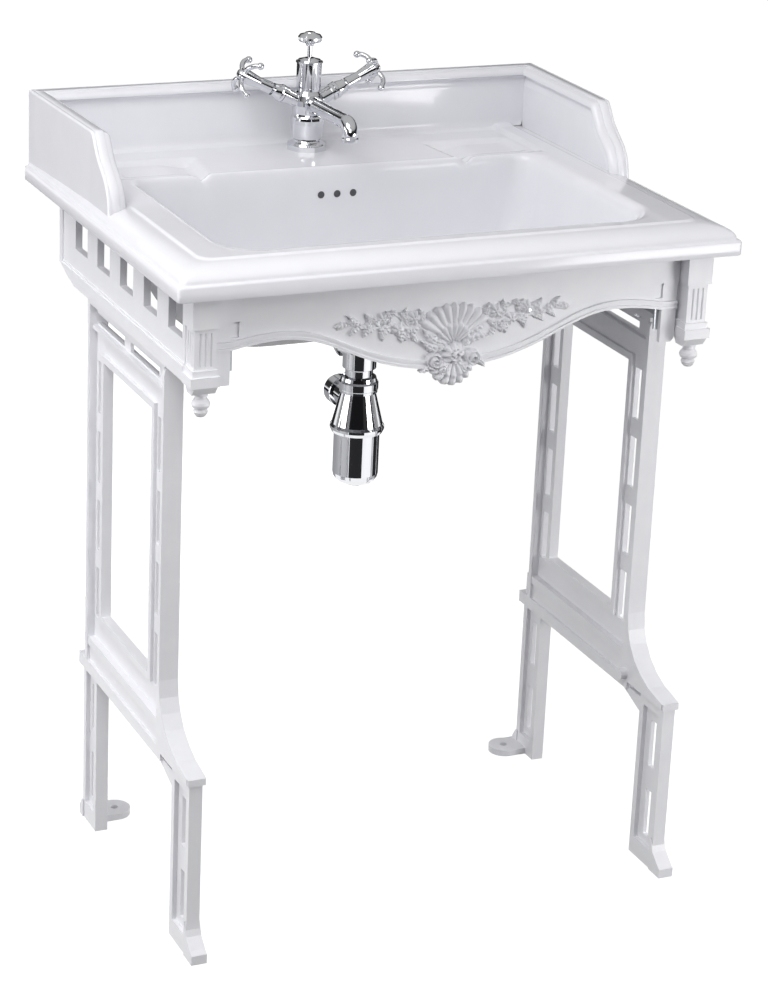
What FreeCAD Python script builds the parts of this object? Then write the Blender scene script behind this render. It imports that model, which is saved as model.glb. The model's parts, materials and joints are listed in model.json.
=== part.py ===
import FreeCAD, Part
import Sketcher
import math
import os
from FreeCAD import Vector, Rotation, Placement

# Console basin on two cast leg frames, with a one-hole mixer, pop-up waste and bottle trap.
# Millimetres. +Z is up, the front faces -Y, X runs to the right.
# The origin lies on the floor under the middle of the whole piece.
# Depths "d" in the names and comments are measured forward from the back face.

doc = FreeCAD.newDocument("ConsoleBasin")
sheet = doc.addObject("Spreadsheet::Sheet", "Dims")

SIZES = [
    # basin
    ("basin_wide", 650), ("basin_deep", 510), ("stand_tall", 747), ("fascia_tall", 16),
    ("fascia_step", 4), ("ovolo_wide", 30), ("ring_rise", 34), ("ring_step", 2.5), ("deck_drop", 3),
    ("deck_thick", 14), ("skirt_wide", 42), ("soap_drop", 4), ("soap_long", 70),
    ("bowl_half", 245), ("bowl_back", 150), ("bowl_front", 446), ("bowl_deep", 151),
    ("bowl_corner", 46), ("bowl_wall", 10), ("bowl_draft", 75), ("bowl_slope", 168), ("bowl_edge", 14),
    ("splash_tall", 105.5), ("splash_wall", 17), ("splash_inset", 9), ("splash_side_deep", 206),
    ("ogee_deep", 64), ("cap_tall", 16), ("cap_proud", 7), ("hanger_tall", 46), ("hanger_half", 210),
    ("wall_hole", 6), ("wall_hole_half", 140), ("overflow_hole", 4.7), ("overflow_pitch", 20),
    ("overflow_level", 34), ("duct_half", 30), ("duct_wall", 5), ("duct_deep", 14),
    # supports under the basin
    ("pad_thick", 1.5), ("pad_wide", 14), ("pad_long", 40), ("rail_inset", 25), ("rail_wall", 8),
    ("rail_tall", 95.5), ("rail_back", 58), ("rail_lip", 22), ("rail_lip_thick", 5),
    ("rail_bead", 2.5), ("rail_bead_tall", 16), ("window_wide", 42), ("window_tall", 40),
    ("window_pitch", 76), ("window_first", 52), ("window_above", 43), ("end_bevel", 16),
    ("post_wide", 30), ("post_front", 20), ("post_block", 34),
    ("post_neck", 24), ("post_neck_tall", 48), ("post_bulge", 33), ("post_bulge_tall", 23),
    ("flute_round", 1.6), ("finial_round", 10), ("finial_tall", 26), ("finial_stud", 3),
    ("apron_thick", 6), ("apron_set", 40), ("apron_gap", 1), ("apron_top_band", 34), ("apron_end_drop", 103),
    ("apron_end_wide", 18), ("apron_arch", 59), ("apron_belly", 108), ("apron_bead", 3),
    ("apron_bead_tall", 9), ("key_wide", 9), ("key_tall", 17), ("shell_proud", 14), ("shell_half", 34),
    ("spray_long", 96), ("spray_proud", 7),
    ("bracket_thick", 3), ("bracket_tall", 26), ("bracket_long", 44), ("screw_round", 2.5),
    ("screw_head", 4.8), ("screw_head_tall", 3), ("screw_slack", 0.15),
    # leg frames
    ("leg_inset", 36), ("leg_wide", 22), ("leg_web", 4), ("leg_rib", 12), ("leg_skin", 7),
    ("rib_thick", 8), ("leg_back", 155), ("leg_back_deep", 41), ("leg_front", 354),
    ("leg_front_deep", 51), ("top_plate", 6), ("top_rail_tall", 66), ("top_slot_tall", 11),
    ("top_slot_long", 92), ("top_slot_gap", 20), ("top_slot_down", 23), ("slot_wide", 14),
    ("slot_tall", 61), ("slot_pitch", 83), ("slot_first", 268), ("bar_top", 277), ("bar_low", 197),
    ("bar_foot_tall", 14), ("bar_band_tall", 20), ("bar_ledge_tall", 10), ("bar_band_wide", 15),
    ("low_wide", 15), ("low_web", 5), ("low_skin", 9), ("low_back", 142), ("low_back_deep", 46),
    ("low_front", 441), ("low_front_deep", 54), ("low_slot_wide", 12), ("low_slot_tall", 58),
    ("low_slot_first", 32), ("low_slot_pitch", 88), ("cap_thick", 8), ("cap_past", 3),
    ("foot_tall", 22), ("toe_past", 6), ("toe_tall", 11), ("toe_wide", 18), ("heel_past", 8),
    ("lug_round", 19), ("lug_thick", 8), ("lug_hole", 4.5), ("lug_reach", 29), ("boss_round", 7),
    ("boss_long", 8), ("bolt_round", 3), ("bolt_head", 6), ("bolt_head_tall", 4), ("bolt_slack", 0.2),
    # tap
    ("tap_back", 57.5), ("tap_hole", 17.5), ("tap_foot", 24.5), ("tap_foot_tall", 6),
    ("tap_neck", 16), ("tap_cup", 20.5), ("tap_hub", 19), ("hub_top", 73), ("column_round", 14.5),
    ("column_tall", 31), ("crown_tall", 4), ("stem_round", 2.5), ("stem_slack", 0.05),
    ("knob_round", 14.3), ("knob_tall", 14.5), ("knob_up", 16), ("arm_level", 51), ("arm_rise", 26),
    ("arm_round", 8.5), ("arm_start", 13), ("arm_long", 36), ("bonnet_round", 10.5), ("bonnet_long", 15),
    ("spindle_round", 5), ("spindle_slack", 0.05), ("handle_far", 91.5), ("handle_hub", 8),
    ("handle_arm", 26), ("handle_rod", 2.9), ("handle_tip", 4.1), ("button_round", 5.8),
    ("spout_level", 55), ("spout_reach", 125), ("spout_round", 9), ("nozzle_round", 9.8),
    ("nozzle_tall", 5.5), ("spout_bore", 6), ("spout_bend", 12), ("shank_round", 16.5), ("shank_tall", 34),
    ("inlet_round", 4.5), ("inlet_apart", 9.5), ("shank_nut_round", 25), ("shank_nut_tall", 9),
    ("seal_thick", 3),
    # waste and linkage
    ("waste_back", 233), ("waste_hole", 22.5), ("waste_rim", 32), ("waste_rim_thick", 3), ("seat_drop", 5), ("plug_slack", 0.2),
    ("waste_sleeve", 21.5), ("barrel_round", 19.5), ("barrel_wall", 3), ("boss_under", 30),
    ("waste_nut_round", 28), ("waste_nut_tall", 11), ("barrel_tall", 54), ("tail_round", 16),
    ("tail_wall", 2), ("tail_long", 24), ("plug_round", 17.6), ("port_round", 8.5),
    ("port_long", 29), ("port_drop", 26), ("ball_round", 5), ("lever_round", 2.4), ("pivot_off", 38),
    ("lever_rise", 7), ("lever_past", 12), ("clevis_wide", 10), ("clevis_deep", 12), ("clevis_tall", 18),
    # bottle trap
    ("trap_gap", 9), ("trap_nut_round", 22), ("trap_nut_tall", 18), ("cone_top", 20), ("cone_low", 31.5),
    ("cone_tall", 44), ("cup_round", 26.5), ("cup_wall", 2), ("cup_tall", 73), ("cup_dome", 16),
    ("cup_lap", 14), ("outlet_level", 16), ("outlet_round", 15), ("outlet_nut", 18), ("outlet_nut_long", 20),
    ("outlet_far", 56), ("fit_gap", 0.3),
]

for row, (alias, number) in enumerate(SIZES, start=1):
    sheet.set("A%d" % row, alias)
    sheet.set("B%d" % row, str(number))
    sheet.setAlias("B%d" % row, alias)
doc.recompute()


class Size:
    """A length with its value and the sheet formula that gives it."""

    def __init__(self, value, text):
        self.value = float(value)
        self.text = text

    def _with(self, other, sign, value, swap=False):
        first, second = (other, self) if swap else (self, other)
        return Size(value, "(%s %s %s)" % (first.text, sign, second.text))

    def __add__(self, other):
        other = as_size(other)
        return self._with(other, "+", self.value + other.value)

    def __radd__(self, other):
        return as_size(other) + self

    def __sub__(self, other):
        other = as_size(other)
        return self._with(other, "-", self.value - other.value)

    def __rsub__(self, other):
        return as_size(other) - self

    def __mul__(self, other):
        other = as_size(other)
        return self._with(other, "*", self.value * other.value)

    def __rmul__(self, other):
        return as_size(other) * self

    def __truediv__(self, other):
        other = as_size(other)
        return self._with(other, "/", self.value / other.value)

    def __neg__(self):
        return Size(-self.value, "(0 - %s)" % self.text)

    def __float__(self):
        return self.value


def as_size(number):
    if isinstance(number, Size):
        return number
    return Size(number, "%.6g" % number if number >= 0 else "(0 - %.6g)" % -number)


class Dims:
    """The sheet's cells by alias."""


D = Dims()
for alias, number in SIZES:
    setattr(D, alias, Size(sheet.get(alias), "Dims." + alias))


def v(size):
    return float(size)


# ---------------------------------------------------------------- shared levels and planes
half = D.basin_wide / 2
back = (D.basin_deep + D.toe_past) / 2          # y of the back face
rim_z = D.stand_tall
lip_z = rim_z + D.fascia_tall
ring_z = rim_z + D.ring_rise
deck_z = ring_z - D.deck_drop
under_deck_z = deck_z - D.deck_thick
splash_z = rim_z + D.splash_tall
floor_z = ring_z - D.bowl_deep
boss_z = floor_z - D.boss_under
rail_z = rim_z - D.pad_thick                    # top of rails, posts and apron
rail_low_z = rail_z - D.rail_tall
rail_x = half - D.rail_inset                    # outer face of the side rails
leg_x = half - D.leg_inset                      # middle plane of a leg frame
post_x = half - D.rail_inset - D.post_wide / 2 + 1.6
post_d1 = D.basin_deep - D.post_front
apron_d1 = D.basin_deep - D.apron_set
apron_d0 = apron_d1 - D.apron_thick
post_d0 = apron_d0                              # the corner brackets lie flat on both
post_thick = post_d1 - post_d0
tap_y = back - D.tap_back
waste_y = back - D.waste_back
arm_z = deck_z + D.arm_level
barrel_low_z = boss_z - D.seal_thick - D.waste_nut_tall - (D.barrel_tall - D.boss_under)
port_z = boss_z - D.port_drop
tail_low_z = barrel_low_z - D.tail_long
trap_nut_z = barrel_low_z - D.trap_gap          # top of the trap's inlet nut
cone_z = trap_nut_z - D.trap_nut_tall           # top of the trap's cone
skirt_z = cone_z - D.cone_tall                  # lower edge of the cone

NODES = {}


def node(name, obj):
    obj.Label = name
    NODES[name] = obj
    return obj


def bind(obj, pairs):
    for prop, size in pairs.items():
        size = as_size(size)
        obj.setExpression(prop, size.text)


def place(obj, x, y, z, rotation=None):
    if rotation is not None:
        obj.Placement = Placement(Vector(0, 0, 0), rotation)
    bind(obj, {"Placement.Base.x": x, "Placement.Base.y": y, "Placement.Base.z": z})


def brick(name, xs, ds, zs, side=0):
    """A box from x to x, depth to depth and level to level; side mirrors x."""
    low, high = xs
    if side < 0:
        low, high = -as_size(high), -as_size(low)
    low, high = as_size(low), as_size(high)
    obj = doc.addObject("Part::Box", name)
    bind(obj, {"Length": high - low, "Width": as_size(ds[1]) - ds[0],
               "Height": as_size(zs[1]) - zs[0]})
    place(obj, low, back - ds[1], zs[0])
    return obj


AXES = {
    "up": Rotation(),
    "right": Rotation(Vector(0, 1, 0), 90),
    "left": Rotation(Vector(0, 1, 0), -90),
    "front": Rotation(Vector(1, 0, 0), 90),
    "rear": Rotation(Vector(1, 0, 0), -90),
}


def rod(name, radius, length, x, y, z, axis="up"):
    obj = doc.addObject("Part::Cylinder", name)
    bind(obj, {"Radius": radius, "Height": length})
    place(obj, x, y, z, AXES[axis])
    return obj


def hexagon(name, radius, length, x, y, z, axis="up", sides=6):
    obj = doc.addObject("Part::Prism", name)
    obj.Polygon = sides
    bind(obj, {"Circumradius": radius, "Height": length})
    place(obj, x, y, z, AXES[axis])
    return obj


def fuse(name, shapes):
    if len(shapes) == 1:
        return shapes[0]
    obj = doc.addObject("Part::MultiFuse", name)
    obj.Shapes = shapes
    obj.Refine = True
    return obj


def cut(name, base, tools):
    obj = doc.addObject("Part::Cut", name)
    obj.Base = base
    obj.Tool = fuse(name + "_tools", tools)
    obj.Refine = True
    return obj


def sketch_loop(sketch, points):
    """A closed outline whose corners are held by dimensions from the sketch's origin."""
    count = len(points)
    pairs = [(as_size(a), as_size(b)) for a, b in points]
    for i in range(count):
        a, b = pairs[i], pairs[(i + 1) % count]
        line = Part.LineSegment(Vector(v(a[0]), v(a[1]), 0), Vector(v(b[0]), v(b[1]), 0))
        sketch.addGeometry(line, False)
    for i in range(count):
        sketch.addConstraint(Sketcher.Constraint("Coincident", i, 2, (i + 1) % count, 1))
    for i, (a, b) in enumerate(pairs):
        for kind, size, line in (("DistanceX", a, -2), ("DistanceY", b, -1)):
            if abs(v(size)) < 1e-9:
                sketch.addConstraint(Sketcher.Constraint("PointOnObject", i, 1, line))
                continue
            index = sketch.addConstraint(Sketcher.Constraint(kind, -1, 1, i, 1, v(size)))
            sketch.setExpression("Constraints[%d]" % index, size.text)


def turned(name, points, x, y, z, rotation=None):
    """A lathe-turned piece: points are (radius, height) from its own base."""
    body = doc.addObject("PartDesign::Body", name)
    sketch = body.newObject("Sketcher::SketchObject", name + "_outline")
    plane = [f for f in body.Origin.OriginFeatures if f.Role == "XZ_Plane"][0]
    sketch.AttachmentSupport = [(plane, "")]
    sketch.MapMode = "FlatFace"
    sketch_loop(sketch, points)
    doc.recompute()
    turn = body.newObject("PartDesign::Revolution", name + "_turn")
    turn.Profile = (sketch, [""])
    turn.ReferenceAxis = (sketch, ["V_Axis"])
    turn.Angle = 360
    place(body, x, y, z, rotation)
    return body


def profile_plate(name, points, xs, side=0):
    """A plate between two x planes with an outline of (depth, level) corners."""
    low, high = xs
    if side < 0:
        low, high = -as_size(high), -as_size(low)
    low, high = as_size(low), as_size(high)
    sketch = doc.addObject("Sketcher::SketchObject", name + "_outline")
    turn = Rotation(Vector(0, -1, 0), Vector(0, 0, 1), Vector(-1, 0, 0), "ZXY")
    sketch.Placement = Placement(Vector(0, 0, 0), turn)
    sketch_loop(sketch, points)
    bind(sketch, {"Placement.Base.x": low, "Placement.Base.y": back})
    obj = doc.addObject("Part::Extrusion", name)
    obj.Base = sketch
    obj.DirMode = "Custom"
    obj.Dir = Vector(1, 0, 0)
    obj.Solid = True
    bind(obj, {"LengthFwd": high - low})
    return obj


def feature(name, shape, x=0, y=0, z=0, rotation=None):
    obj = doc.addObject("Part::Feature", name)
    obj.Shape = shape
    if rotation is None:
        rotation = Rotation()
    obj.Placement = Placement(Vector(v(x), v(y), v(z)), rotation)
    return obj


# ---------------------------------------------------------------- basin
def rect_wire(x0, x1, y0, y1, z):
    corners = [Vector(x0, y0, z), Vector(x1, y0, z), Vector(x1, y1, z), Vector(x0, y1, z)]
    return Part.makePolygon(corners + corners[:1])


def round_rect(x0, x1, y0, y1, z, r):
    """Four sides and four corner arcs, always in the same order."""
    k = r * (1 - math.sqrt(0.5))
    points = [
        (x0 + r, y0), (x1 - r, y0), (x1 - k, y0 + k), (x1, y0 + r), (x1, y1 - r),
        (x1 - k, y1 - k), (x1 - r, y1), (x0 + r, y1), (x0 + k, y1 - k), (x0, y1 - r),
        (x0, y0 + r), (x0 + k, y0 + k)]
    p = [Vector(a, b, z) for a, b in points]
    edges = []
    for i in range(4):
        a, b, c, e = p[3 * i], p[3 * i + 1], p[3 * i + 2], p[(3 * i + 3) % 12]
        edges.append(Part.LineSegment(a, b).toShape())
        edges.append(Part.Arc(b, c, e).toShape())
    return Part.Wire(edges)


def bowl_shape(grow, top, bottom):
    """The bowl's hollow (grow 0) or its outside (grow = the wall). The front slopes down to the waste."""
    w, b0, b1 = v(D.bowl_half), v(back - D.bowl_front), v(back - D.bowl_back)
    draft, slope, r, edge = v(D.bowl_draft), v(D.bowl_slope), v(D.bowl_corner), v(D.bowl_edge)
    tall = top - bottom
    wires = []
    # share of the depth, rounding of the edge, share of the draft, share of the slope, corner growth
    steps = [(0.0, 1.0, 0.0, 0.0, 0.0), (0.0066, 0.63, 0.0, 0.0, 0.0), (0.0265, 0.3, 0.0, 0.0, 0.0),
             (0.053, 0.1, 0.0, 0.0, 0.0), (0.09, 0.0, 0.0, 0.0, 0.0), (0.18, 0.0, 0.027, 0.012, 1.0),
             (0.35, 0.0, 0.067, 0.027, 3.0), (0.5, 0.0, 0.107, 0.054, 6.0), (0.6, 0.0, 0.147, 0.131, 10.0),
             (0.7, 0.0, 0.21, 0.298, 12.0), (0.8, 0.0, 0.32, 0.5, 12.0), (0.9, 0.0, 0.49, 0.714, 8.0),
             (0.97, 0.0, 0.72, 0.893, 2.0), (1.0, 0.0, 1.0, 1.0, -6.0)]
    for down, flare, side, front, round_off in steps:
        f = 0.0 if grow else edge * flare
        i = draft * side
        wires.append(round_rect(-w + i - grow - f, w - i + grow + f, b0 + slope * front - grow - f,
                                b1 - i * 0.5 + grow + f * 0.3, top - down * tall, r + grow + round_off))
    return Part.makeLoft(wires, True, True)


def side_wall_shape(side):
    """A side splash wall with its ogee front end."""
    x1 = v(half - D.splash_inset)
    x0 = x1 - v(D.splash_wall)
    d1, run = v(D.splash_side_deep), v(D.ogee_deep)
    top, low = v(splash_z), v(deck_z)
    y = v(back)
    curve = [(0.0, 1.0), (0.10, 0.87), (0.25, 0.74), (0.50, 0.61), (0.72, 0.50), (0.87, 0.38), (0.95, 0.24),
             (0.985, 0.12), (1.0, 0.0)]
    pts = [Vector(0, y - d1 - a * run, low + b * (top - low)) for a, b in curve]
    spline = Part.BSplineCurve()
    spline.interpolate(pts)
    base = v(lip_z)
    end = pts[-1]
    foot = Vector(0, end.y, base)
    rear = Vector(0, y, base)
    crown = Vector(0, y, top)
    edges = [spline.toShape(), Part.LineSegment(end, foot).toShape(),
             Part.LineSegment(foot, rear).toShape(), Part.LineSegment(rear, crown).toShape(),
             Part.LineSegment(crown, pts[0]).toShape()]
    face = Part.Face(Part.Wire(edges))
    start = x0 if side > 0 else -x1
    face.translate(Vector(start, 0, 0))
    return face.extrude(Vector(x1 - x0, 0, 0))


def cap_section():
    """Stepped moulding under the splash top: (inward, down) corners."""
    tall, out, wall = v(D.cap_tall), v(D.cap_proud), v(D.splash_wall)
    return [(0, 0), (wall - 4, 0), (wall - 4, 2), (wall + out * 0.6, 3.5), (wall + out, 6),
            (wall + out, 8.5), (wall + out * 0.35, tall * 0.75), (wall, tall), (0, tall)]


def basin_shape():
    x1, y0, y1 = v(half), v(back - D.basin_deep), v(back)
    z0, lip, ring = v(rim_z), v(lip_z), v(ring_z)
    step, ovolo = v(D.fascia_step), v(D.ovolo_wide)
    body = Part.makeBox(2 * x1, y1 - y0, lip - z0, Vector(-x1, y0, z0))
    top_of_ovolo = ring - v(D.ring_step)
    wires = []
    for angle in (0, 15, 30, 45, 60, 75, 90):
        a = math.radians(angle)
        i = step + ovolo * (1 - math.cos(a))
        z = lip + (top_of_ovolo - lip) * math.sin(a)
        wires.append(rect_wire(-x1 + i, x1 - i, y0 + i, y1, z))
    body = body.fuse(Part.makeLoft(wires, True, False))
    i = step + ovolo + 1.5
    ring_pad = Part.makeBox(2 * (x1 - i), y1 - y0 - i, v(D.ring_step) + 1,
                            Vector(-x1 + i, y0 + i, top_of_ovolo - 1))
    body = body.fuse(ring_pad)
    # lower deck between the splash walls, behind the bowl
    inner = x1 - v(D.splash_inset) - v(D.splash_wall)
    d_ledge = v(D.bowl_back) - 10
    body = body.cut(Part.makeBox(2 * inner, d_ledge, 50, Vector(-inner, y1 - d_ledge, v(deck_z))))
    # pocket under the deck, leaving a skirt all round
    skirt = v(D.skirt_wide)
    pocket = Part.makeBox(2 * (x1 - skirt), y1 - y0 - 1.6 * skirt, v(under_deck_z) - z0 + 5,
                          Vector(-x1 + skirt, y0 + skirt * 1.1, z0 - 5))
    body = body.cut(pocket)
    # hanging bar along the back
    bar = Part.makeBox(2 * v(D.hanger_half), skirt * 0.5, v(D.hanger_tall) + 2,
                       Vector(-v(D.hanger_half), y1 - skirt * 0.5, z0 - v(D.hanger_tall)))
    body = body.fuse(bar)
    # bowl, overflow duct and waste boss
    wall = v(D.bowl_wall)
    outer = bowl_shape(wall, v(under_deck_z) + 2, v(floor_z) - wall)
    body = body.fuse(outer)
    wy, br = v(waste_y), v(D.waste_hole) + 12
    boss = Part.makeCylinder(br, v(floor_z) - v(boss_z), Vector(0, wy, v(boss_z)))
    body = body.fuse(boss)
    dh, dw, dd = v(D.duct_half), v(D.duct_wall), v(D.duct_deep)
    duct_y = v(back - D.bowl_back) + wall
    duct_top = v(ring_z) - v(D.overflow_level) + 12
    rise = Part.makeBox(2 * dh, dd + 2 * dw, duct_top - v(boss_z),
                        Vector(-dh, duct_y - dw, v(boss_z)))
    run = Part.makeBox(2 * dh, duct_y + dd - wy, v(floor_z) - wall + 2 - v(boss_z),
                       Vector(-dh, wy, v(boss_z)))
    body = body.fuse(rise).fuse(run)
    hollow = bowl_shape(0, v(ring_z), v(floor_z))
    hollow = hollow.fuse(Part.makeBox(2 * v(D.bowl_half) - 60, v(D.bowl_front - D.bowl_back) - 40, 8,
                                      Vector(-v(D.bowl_half) + 30, v(back - D.bowl_front) + 20, v(ring_z) - 1)))
    body = body.cut(hollow)
    cavity = Part.makeBox(2 * (dh - dw), dd, duct_top - dw - v(boss_z) - dw,
                          Vector(-dh + dw, duct_y, v(boss_z) + dw))
    channel = Part.makeBox(2 * (dh - dw), duct_y + dd - wy, v(floor_z) - wall - v(boss_z) - dw,
                           Vector(-dh + dw, wy, v(boss_z) + dw))
    body = body.cut(cavity).cut(channel)
    for k in (-1, 0, 1):
        x = k * v(D.overflow_pitch)
        z = v(ring_z) - v(D.overflow_level)
        hole = Part.makeCylinder(v(D.overflow_hole), wall + 24, Vector(x, duct_y + dd * 0.5, z),
                                 Vector(0, -1, 0))
        body = body.cut(hole)
    body = body.cut(Part.makeCylinder(v(D.waste_hole), 60, Vector(0, wy, v(boss_z) - 5)))
    # splash walls with their caps
    ix = x1 - v(D.splash_inset)
    wall_back = Part.makeBox(2 * ix, v(D.splash_wall), v(splash_z) - lip,
                             Vector(-ix, y1 - v(D.splash_wall), lip))
    section = [Vector(-ix, y1 - a, v(splash_z) - b) for a, b in cap_section()]
    cap = Part.Face(Part.makePolygon(section + section[:1])).extrude(Vector(2 * ix, 0, 0))
    body = body.fuse(wall_back).fuse(cap)
    for side in (-1, 1):
        body = body.fuse(side_wall_shape(side))
        front = y1 - v(D.splash_side_deep) + 2
        section = [Vector(side * (ix - a), front, v(splash_z) - b) for a, b in cap_section()]
        cap = Part.Face(Part.makePolygon(section + section[:1])).extrude(Vector(0, y1 - front, 0))
        body = body.fuse(cap)
    # soap rests each side of the tap
    long, rest = v(D.soap_long), v(D.bowl_back) - 40
    for side in (-1, 1):
        x0 = side * (v(D.bowl_half) - 14 - long)
        pts = [Vector(x0, y1 - 55, 0), Vector(x0 + side * long, y1 - 55, 0),
               Vector(x0 + side * long, y1 - 55 - rest, 0), Vector(x0 - side * 26, y1 - 55 - rest, 0)]
        low = v(deck_z) - v(D.soap_drop)
        for p in pts:
            p.z = low
        face = Part.Face(Part.makePolygon(pts + pts[:1]))
        body = body.cut(face.extrude(Vector(0, 0, 30)))
    # tap hole and wall holes
    body = body.cut(Part.makeCylinder(v(D.tap_hole), 60, Vector(0, v(tap_y), v(under_deck_z) - 20)))
    for side in (-1, 1):
        at = Vector(side * v(D.wall_hole_half), y1 + 5, z0 - v(D.hanger_tall) * 0.5)
        body = body.cut(Part.makeCylinder(v(D.wall_hole), skirt + 5, at, Vector(0, -1, 0)))
    return body.removeSplitter()


def make_basin():
    return node("basin", feature("basin", basin_shape()))


# ---------------------------------------------------------------- side rails and posts
def make_rail(side, tag):
    outer = rail_x
    inner = outer - D.rail_wall
    lip = outer - D.rail_lip
    d0, d1 = D.rail_back, post_d0
    web = brick("rail_web_" + tag, (inner, outer), (d0, d1), (rail_low_z, rail_z), side)
    lip_top = brick("rail_top_" + tag, (lip, outer), (d0, d1), (rail_z - D.rail_lip_thick, rail_z), side)
    foot = brick("rail_foot_" + tag, (lip, outer), (d0, d1),
                 (rail_low_z, rail_low_z + D.rail_lip_thick), side)
    bead = brick("rail_bead_" + tag, (inner, outer + D.rail_bead), (d0, d1),
                 (rail_low_z, rail_low_z + D.rail_bead_tall), side)
    fillet = brick("rail_fillet_" + tag, (inner, outer + D.rail_bead * 0.5), (d0, d1),
                   (rail_low_z, rail_low_z + D.rail_bead_tall + 3), side)
    end = brick("rail_end_" + tag, (inner, outer + D.rail_bead * 0.8), (d0, d0 + 10),
                (rail_low_z, rail_z), side)
    solid = fuse("rail_solid_" + tag, [web, lip_top, foot, bead, fillet, end])
    tools = []
    low = rail_low_z + D.window_above
    for i in range(5):
        start = d0 + D.window_first + i * D.window_pitch
        tools.append(brick("rail_window_%s_%d" % (tag, i), (inner - 1, outer + 5),
                           (start, start + D.window_wide), (low, low + D.window_tall), side))
    corner = [(d0 - 2, rail_low_z - 2), (d0 + 4 * D.end_bevel, rail_low_z - 2),
              (d0 + 2 * D.end_bevel, rail_low_z + D.end_bevel * 0.3),
              (d0 + D.end_bevel, rail_low_z + D.end_bevel * 0.7), (d0 - 2, rail_low_z + D.end_bevel)]
    tools.append(profile_plate("rail_corner_" + tag, corner, (lip - 1, outer + 5), side))
    for d in bolt_depths():
        x = side * (lip + D.bolt_head + 1)
        tools.append(rod("rail_bolt_hole_%s_%d" % (tag, round(v(d))), D.bolt_round + D.bolt_slack,
                         D.rail_lip_thick + 4, x, back - d, rail_low_z - 2))
    for z in screw_levels():
        tools.append(rod("rail_screw_hole_%s_%d" % (tag, round(v(z))), D.screw_round + D.screw_slack,
                         D.rail_wall - 2 + 1, side * (inner - 1), back - rail_screw_d(), z,
                         "right" if side > 0 else "left"))
    return node("rail_" + tag, cut("rail_" + tag, solid, tools))


def bolt_depths():
    return (D.leg_back + 8, D.leg_front + 14)


def screw_levels():
    low = rail_low_z + D.rail_lip_thick + 1
    return (low + D.bracket_tall * 0.28, low + D.bracket_tall * 0.72)


def rail_screw_d():
    return post_d0 - D.bracket_long * 0.6


def make_post(side, tag):
    w, t = D.post_wide, post_thick
    x0, x1 = post_x - w / 2, post_x + w / 2
    z3 = rail_z - D.post_block
    z2 = z3 - D.post_neck_tall
    z1 = z2 - D.post_bulge_tall
    block = brick("post_block_" + tag, (x0, x1), (post_d0, post_d1), (z3, rail_z), side)
    trim = (w - D.post_neck) / 2
    neck = brick("post_neck_" + tag, (x0 + trim, x1 - trim), (post_d0, post_d1 - trim), (z2, z3), side)
    grow = (D.post_bulge - w) / 2
    ring = brick("post_ring_" + tag, (x0 + 1, x1 - 1), (post_d0, post_d1 - 1), (z2, z2 + 4), side)
    bulge = brick("post_bulge_" + tag, (x0, x1 + grow), (post_d0, post_d1 + grow),
                  (z1 + 9, z2 - 3), side)
    collar = brick("post_collar_" + tag, (x0 + 1, x1 - 1), (post_d0, post_d1 - 1), (z2 - 3, z2), side)
    taper = profile_plate("post_taper_" + tag,
                          [(post_d0, z1 + 9), (post_d1 + grow, z1 + 9), (post_d1 - 6, z1), (post_d0 + 6, z1)],
                          (x0 + 2, x1 - 2), side)
    solid = fuse("post_solid_" + tag, [block, neck, ring, bulge, collar, taper])
    tools = []
    pitch = D.post_neck / 4
    for i in (-1, 0, 1):
        tools.append(rod("post_flute_%s_%d" % (tag, i + 1), D.flute_round, D.post_neck_tall - 12,
                         side * (post_x + i * pitch), back - (post_d1 - trim), z2 + 7))
        tools.append(rod("post_side_flute_%s_%d" % (tag, i + 1), D.flute_round, D.post_neck_tall - 12,
                         side * (x1 - trim), back - (post_d0 + t / 2 - 1 + i * pitch), z2 + 7))
    tools.append(rod("post_stud_hole_" + tag, D.finial_stud + D.screw_slack, 12, side * post_x,
                     back - (post_d0 + t / 2), z1 - 1))
    tools.append(rod("post_screw_hole_" + tag, D.screw_round + D.screw_slack, 9,
                     side * (post_x - 3), back - (post_d0 - 1), screw_mid_z(), "front"))
    return node("post_" + tag, cut("post_" + tag, solid, tools))


def screw_mid_z():
    low = rail_low_z + D.rail_lip_thick + 1
    return low + D.bracket_tall / 2


def make_finial(side, tag):
    r, tall = D.finial_round, D.finial_tall
    points = [(0, 0), (r * 0.45, 0.6), (r * 0.62, 2.5), (r * 0.78, 6), (r * 0.72, 8), (r * 0.62, 9.5),
              (r * 0.9, 11), (r, 14), (r * 0.94, 17), (r * 0.7, 20), (r * 0.62, tall - 3),
              (r * 0.8, tall - 2), (r * 0.8, tall), (D.finial_stud, tall), (D.finial_stud, tall + 9),
              (0, tall + 9)]
    z1 = rail_z - D.post_block - D.post_neck_tall - D.post_bulge_tall
    body = turned("finial_" + tag, points, side * post_x, back - (post_d0 + post_thick / 2), z1 - tall)
    return node("finial_" + tag, body)


# ---------------------------------------------------------------- apron
def apron_half():
    return post_x - D.post_wide / 2 - D.apron_gap


def apron_low_points():
    """Lower edge from the middle to the right end: (x, level)."""
    arch, belly = v(rail_z - D.apron_arch), v(rail_z - D.apron_belly)
    end = v(apron_half()) - v(D.apron_end_wide)
    rise = arch - belly
    shares = [(0.0, 0.0), (0.14, 0.06), (0.24, 0.15), (0.42, 0.45), (0.56, 0.77), (0.70, 0.98),
              (0.84, 1.0), (1.0, 0.88)]
    return [(a * end, belly + b * rise) for a, b in shares]


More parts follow.
